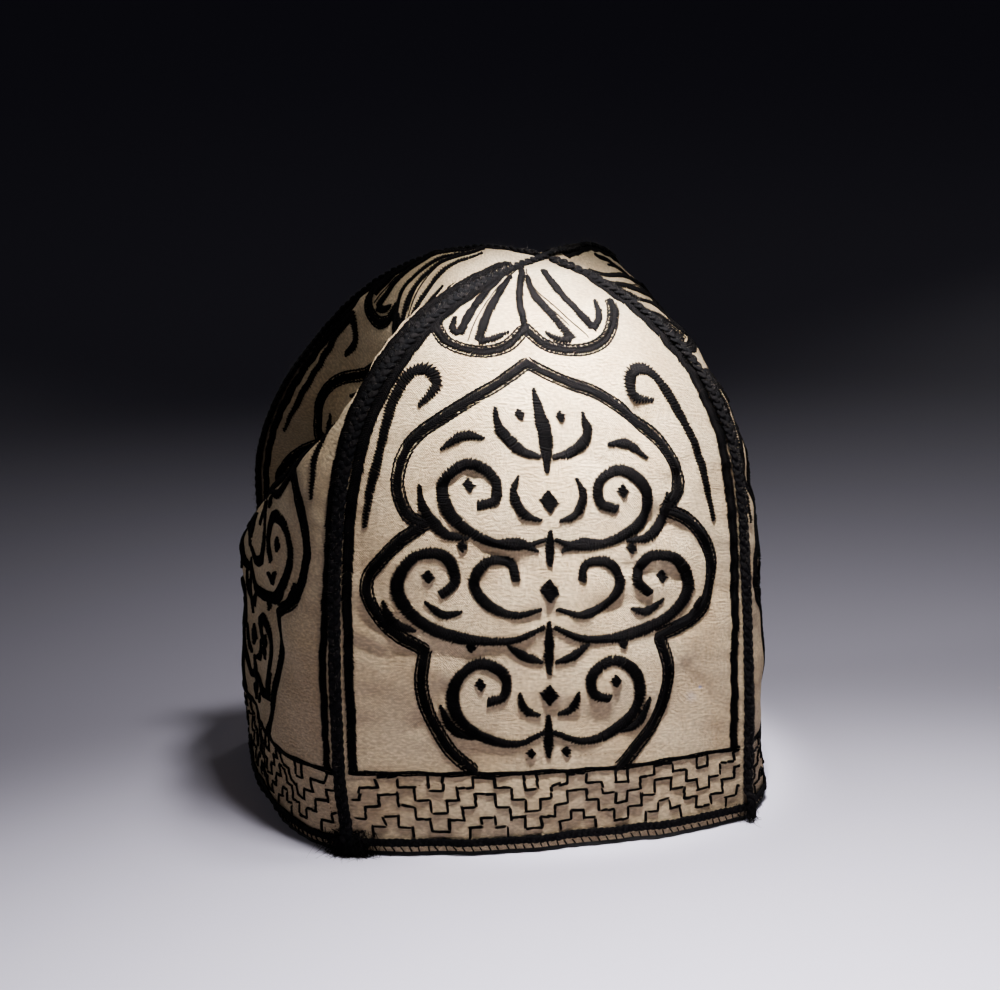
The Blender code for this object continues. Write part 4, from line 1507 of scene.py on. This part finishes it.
class HAT_OT_braids(bpy.types.Operator):
    """Plait the braids on the seams and round the rim"""
    bl_idname = "dervish_hat.braids"
    bl_label = "Braids"

    def execute(self, context):
        settings = context.scene.dervish_hat.braid
        material = strand_material(context)
        feet = {}
        for seam in SEAM_BEARING:
            feet[seam] = float(up_at_height(gore_beside(seam, True), np.array(SEAM_SIDE),
                                            SEAM_BRAID_FOOT))
        long = plait_seam("plait_front_left_to_back_right", material,
                          (("fl", feet["fl"], LONG_BRAID_TOP, True),
                           ("br", feet["br"], LONG_BRAID_TOP, False)), settings, seeded("long"))
        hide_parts("seam_braid_front_left_to_back_right")
        for seam, node in (("fr", "front_right"), ("bl", "back_left")):
            short = plait_seam("plait_" + node, material,
                               ((seam, feet[seam], SHORT_BRAID_TOP, True),), settings,
                               seeded(node))
            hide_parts("seam_braid_" + node)
        self.rim(settings, material)
        return {"FINISHED"}

    def rim(self, settings, material):
        """The thin braid round the hat, just above its edge."""
        points, rise, out = rim_rows(RIM_BRAID_HEIGHT, RIM_BRAID_PLACES)
        out = unit(smoothed(out, 3, closed=True))
        rise = unit(smoothed(rise, 3, closed=True))
        rings = RIM_BRAID_RINGS
        (points, rise, out), length = along_evenly(points, [rise, out], rings, closed=True)
        bend = np.stack([np.ones(rings), np.zeros(rings)], axis=1)
        radius = settings.rim_strand / MM / 2
        turns = round(length / (settings.rim_plait / MM))
        bundle = Bundle()
        plait(bundle, (points, rise, out, bend), turns, RIM_BRAID_WIDTH / 2 - radius + 0.15,
              radius, RIM_PLAIT_WEAVE, GAP * 0.4 + PLAIT_FLATNESS * radius + 0.16,
              seeded("rim"), closed=True)
        piece = bundle.piece("plait_rim", material, "black_braid")
        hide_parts("rim_braid")


class HAT_OT_edge(bpy.types.Operator):
    """Bind the raw edge and whip-stitch the hem"""
    bl_idname = "dervish_hat.edge"
    bl_label = "Bound edge"

    def execute(self, context):
        settings = context.scene.dervish_hat
        black = material_once("binding_tape", woven, tuple(settings.cloth.tape), settings.cloth,
                              dark=0.6, nap=0.02)
        self.binding(settings.cloth, black)
        self.whipping(context)
        return {"FINISHED"}

    def binding(self, settings, material):
        """A rounded strip round the edge, flat underneath."""
        points, _, out = rim_rows(BINDING_HEIGHT / 2, BINDING_PLACES)
        out = smoothed(out, 2, closed=True)
        level = unit(out * LEVEL)
        outside = (BINDING_WIDTH - settings.wall / MM) / 2
        middle = outside - BINDING_WIDTH / 2
        angle = np.linspace(0, 2 * np.pi, BINDING_CORNERS, endpoint=False)
        cosine, sine = np.cos(angle), np.sin(angle)
        wide = np.sign(cosine) * np.abs(cosine) ** BINDING_ROUNDNESS * BINDING_WIDTH / 2
        high = np.sign(sine) * np.abs(sine) ** BINDING_ROUNDNESS * BINDING_HEIGHT / 2
        rings = len(points)
        place = np.arange(rings)
        lumps = 1 + 0.05 * np.sin(place * 1.9) + 0.04 * np.sin(place * 0.71)
        foot = points * LEVEL
        ring = (foot[:, None] + level[:, None] * (middle + wide * lumps[:, None])[..., None]
                + UPWARDS * (BINDING_HEIGHT / 2 + high)[:, None])
        row = np.arange(rings)[:, None] * BINDING_CORNERS
        above = (np.arange(rings)[:, None] + 1) % rings * BINDING_CORNERS
        side = np.arange(BINDING_CORNERS)[None, :]
        after = (side + 1) % BINDING_CORNERS
        faces = np.stack([row + side, above + side, above + after, row + after], axis=-1)
        steps = np.linalg.norm(np.diff(np.concatenate([points, points[:1]]), axis=0), axis=1)
        along = (np.cumsum(steps) - steps)[:, None] * np.ones((1, BINDING_CORNERS))
        round_it = side * 0.5 * np.ones((rings, 1))
        weave = np.stack([along, round_it, np.zeros_like(along)], axis=-1)
        piece = new_piece("bound_edge", ring.reshape(-1, 3), [faces.reshape(-1, 4)], [material],
                          marks={"weave": weave.reshape(-1, 3)})
        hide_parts("edge_binding")

    def whipping(self, context):
        """Slanted stitches from the bound edge up over the hem."""
        bundle = Bundle()
        rng = seeded("whipping")
        for name in GORES:
            places = np.linspace(-HEM_END, HEM_END, HEM_PLACES)
            height = np.full(HEM_PLACES, HEM_STITCH_HEIGHT)
            line = np.stack([places, up_at_height(name, places, height)], axis=1)
            across, up, share, along, _ = stitch_places(name, line, HEM_STITCH_PITCH)
            lean = HEM_STITCH_LEAN + rng.normal(0, 0.16, (len(share), 1))
            shift = rng.normal(0, 0.20, (len(share), 1))
            reach = HEM_STITCH_UP + rng.normal(0, 0.15, lean.shape)
            starts = along * (shift - lean) + UPWARDS * reach
            ends = along * (shift + lean) - UPWARDS * HEM_STITCH_DOWN
            lay_stitches(bundle, name, across, up, starts, ends, HEM_THREAD / 2, 0.10, rng)
        bundle.piece("hem_whip_stitches", thread_material(context), "black_braid")


class HAT_OT_wear(bpy.types.Operator):
    """Fray the ends of the braids, raise their fuzz and mark the cloth where stitches were"""
    bl_idname = "dervish_hat.wear"
    bl_label = "Frayed ends, fuzz and marks"

    def execute(self, context):
        for foot in FRAYED_FEET:
            self.frayed_foot(foot, strand_material(context))
        fuzz = material_once("loose_fibre", spun, FIBRE_GREY, FIBRE_BROWN, 2.0)
        for seam in SEAM_BEARING:
            self.braid_fuzz(seam, fuzz)
        self.marks(material_once("stitch_marks", spun, MARK_BROWN, MARK_PALE, 1.0))
        return {"FINISHED"}

    def hairs(self, bundle, roots, ways, lengths, radius, rng, droop=0.0):
        """Thin curved hairs from their roots. Droop bends their ends down, but not below the
        floor."""
        count = len(roots)
        share = np.linspace(0, 1, HAIR_RINGS)
        curl = unit(np.cross(ways, rng.normal(0, 1, (count, 3))))
        bend = rng.uniform(0.15, 0.75, (count, 1)) * lengths[:, None]
        centres = (roots[:, None] + ways[:, None] * (lengths[:, None] * share)[..., None]
                   + curl[:, None] * (bend * share ** 2)[..., None])
        centres[..., 2] -= droop * lengths[:, None] * share ** 2
        centres[..., 2] = np.maximum(centres[..., 2], radius + 0.05)
        bundle.add(centres, radius * np.linspace(1.0, 0.35, HAIR_RINGS) * np.ones((count, 1)),
                   curl[:, None] + 0.01, 3, rng.uniform(0, 1, count))

    def frayed_foot(self, foot, material):
        """The cut end of a seam braid, where its yarn has come apart over the edge."""
        rng = seeded("fray" + foot.seam)
        up = np.array([FOOT_UP])
        left, right = (place[3] for place in frames_beside(foot.seam, up))
        out = unit(left + right)[0]
        beside = unit(np.cross(UPWARDS, out))
        aside = rng.normal(0, foot.spread, (foot.hairs, 1))
        height = rng.uniform(*FOOT_HEIGHTS, (foot.hairs, 1))
        roots = (seam_point(foot.seam, up)[0] * LEVEL + beside * aside + UPWARDS * height
                 + out * rng.uniform(*FOOT_OUT, (foot.hairs, 1)))
        roots -= out * np.abs(aside) * foot.ridge
        ways = unit(beside * rng.normal(0, 0.9, (foot.hairs, 1)) + out * 0.25
                    - UPWARDS * rng.uniform(0.1, 1.4, (foot.hairs, 1)))
        bundle = Bundle()
        self.hairs(bundle, roots, ways, rng.uniform(1.5, foot.reach, foot.hairs), FOOT_HAIR, rng,
                   0.4)
        loose = rng.choice(foot.hairs, foot.loose, replace=False)
        self.hairs(bundle, roots[loose], unit(ways[loose] * np.array([1, 1, 0.1]) + out * 0.3),
                   rng.uniform(4.0, 8.5, foot.loose), LOOSE_HAIR, rng, 0.9)
        bundle.piece("frayed_end_" + foot.seam, material, "black_braid")

    def braid_fuzz(self, seam, material):
        """Short fibres that stand up from a seam braid."""
        rng = seeded("fuzz" + seam)
        up = rng.uniform(0.03, 0.985, FUZZ_HAIRS)
        left, right = frames_beside(seam, up)
        out = unit(left[3] + right[3])
        rise = unit(left[2])
        side = unit(np.cross(rise, out))
        aside = rng.uniform(-FUZZ_REACH, FUZZ_REACH, (FUZZ_HAIRS, 1))
        roots = seam_point(seam, up) + side * aside + out * (FUZZ_ROOT - 0.25 * aside * aside)
        ways = unit(out + side * (0.5 * aside / FUZZ_REACH + rng.normal(0, 0.5, (FUZZ_HAIRS, 1)))
                    + rise * rng.normal(0, 0.6, (FUZZ_HAIRS, 1)))
        bundle = Bundle()
        lengths = 0.6 + rng.exponential(0.55, FUZZ_HAIRS)
        self.hairs(bundle, roots, ways, np.minimum(lengths, FUZZ_LONGEST), FUZZ_HAIR, rng)
        bundle.piece("braid_fuzz_" + seam, material, "black_braid")

    def marks(self, material):
        """Rows of specks left by threads that have been taken out."""
        bundle = Bundle()
        rng = seeded("marks")
        for row in MARK_ROWS:
            path = np.linspace((row.across, row.up), (row.to_across, row.to_up), 12)
            across, up, share, along, right = stitch_places(row.gore, path, row.pitch)
            loose = rng.normal(0, 0.12, (2, len(share), 1))
            lay_stitches(bundle, row.gore, across, up, -along * row.length / 2 + right * loose[0],
                         along * row.length / 2 + right * loose[1], row.width / 2, 0.02, rng)
        bundle.piece("thread_marks", material, "cream_wool")


class HAT_OT_stage(bpy.types.Operator):
    """Lay the floor, set the lights and the camera"""
    bl_idname = "dervish_hat.stage"
    bl_label = "Floor, light and camera"

    def execute(self, context):
        settings = context.scene.dervish_hat.stage
        self.floor(settings)
        for lamp in LAMPS:
            self.light(lamp, getattr(settings, lamp.power) * lamp.share)
        self.world(context, settings)
        self.camera(context)
        return {"FINISHED"}

    def floor(self, settings):
        """A wide plain floor."""
        mesh = bpy.data.meshes.new("floor")
        corners = [(x * FLOOR_REACH, y * FLOOR_REACH, 0)
                   for x, y in ((-1, -1), (1, -1), (1, 1), (-1, 1))]
        mesh.from_pydata(corners, [], [(0, 1, 2, 3)])
        mesh.materials.append(material_once("studio_floor", floor_finish, tuple(settings.floor)))
        floor = bpy.data.objects.new("floor", mesh)
        bpy.context.scene.collection.objects.link(floor)

    def light(self, lamp, power):
        """One soft square light with a honeycomb in front, which narrows its beam."""
        data = bpy.data.lights.new(lamp.name, "AREA")
        data.energy = power
        data.size = lamp.size
        data.spread = math.radians(lamp.spread)
        item = bpy.data.objects.new(lamp.name, data)
        item.location = lamp.place
        item.rotation_mode = "QUATERNION"
        item.rotation_quaternion = (Vector(lamp.aim) - Vector(lamp.place)).to_track_quat("-Z", "Y")
        item.visible_camera = False
        bpy.context.scene.collection.objects.link(item)

    def world(self, context, settings):
        """Weak even light from all round."""
        world = bpy.data.worlds.new("studio")
        world.use_nodes = True
        background = world.node_tree.nodes["Background"]
        background.inputs["Color"].default_value = (*SKY_COLOUR, 1.0)
        background.inputs["Strength"].default_value = settings.fill
        context.scene.world = world

    def camera(self, context):
        """The camera at the photograph's viewing angle."""
        data = bpy.data.cameras.new("photo_camera")
        data.lens = CAMERA_LENS
        data.sensor_width = SENSOR_WIDTH
        data.clip_start = 0.05
        data.clip_end = 60.0
        camera = bpy.data.objects.new("photo_camera", data)
        camera.location = CAMERA_PLACE
        camera.rotation_mode = "QUATERNION"
        camera.rotation_quaternion = Vector(CAMERA_AIM).to_track_quat("-Z", "Y")
        context.scene.collection.objects.link(camera)
        context.scene.camera = camera


OPERATORS = (HAT_OT_cloth, HAT_OT_motif, HAT_OT_scrolls, HAT_OT_borders, HAT_OT_band,
             HAT_OT_braids, HAT_OT_edge, HAT_OT_wear, HAT_OT_stage)


class HAT_PT_panel(bpy.types.Panel):
    """The hat's pieces and their settings"""
    bl_idname = "HAT_PT_panel"
    bl_label = "Dervish hat"
    bl_space_type = "VIEW_3D"
    bl_region_type = "UI"
    bl_category = "Hat"

    def draw(self, context):
        settings = context.scene.dervish_hat
        for group in ("cloth", "embroidery", "braid", "stage"):
            box = self.layout.box()
            values = getattr(settings, group)
            for name in values.__annotations__:
                box.prop(values, name)
        for operator in OPERATORS:
            self.layout.operator(operator.bl_idname)


CLASSES = (HAT_PG_cloth, HAT_PG_embroidery, HAT_PG_braid, HAT_PG_stage, HAT_PG_settings,
           *OPERATORS, HAT_PT_panel)


def register():
    """Make the settings, operators and panel known."""
    for item in CLASSES:
        bpy.utils.register_class(item)
    bpy.types.Scene.dervish_hat = bpy.props.PointerProperty(type=HAT_PG_settings)


def unregister():
    """Take them away again."""
    del bpy.types.Scene.dervish_hat
    for item in reversed(CLASSES):
        bpy.utils.unregister_class(item)


def main():
    """Build every piece."""
    register()
    bpy.ops.dervish_hat.cloth()
    bpy.ops.dervish_hat.motif()
    bpy.ops.dervish_hat.scrolls()
    bpy.ops.dervish_hat.borders()
    bpy.ops.dervish_hat.band()
    bpy.ops.dervish_hat.braids()
    bpy.ops.dervish_hat.edge()
    bpy.ops.dervish_hat.wear()
    bpy.ops.dervish_hat.stage()


if __name__ == "__main__":
    main()
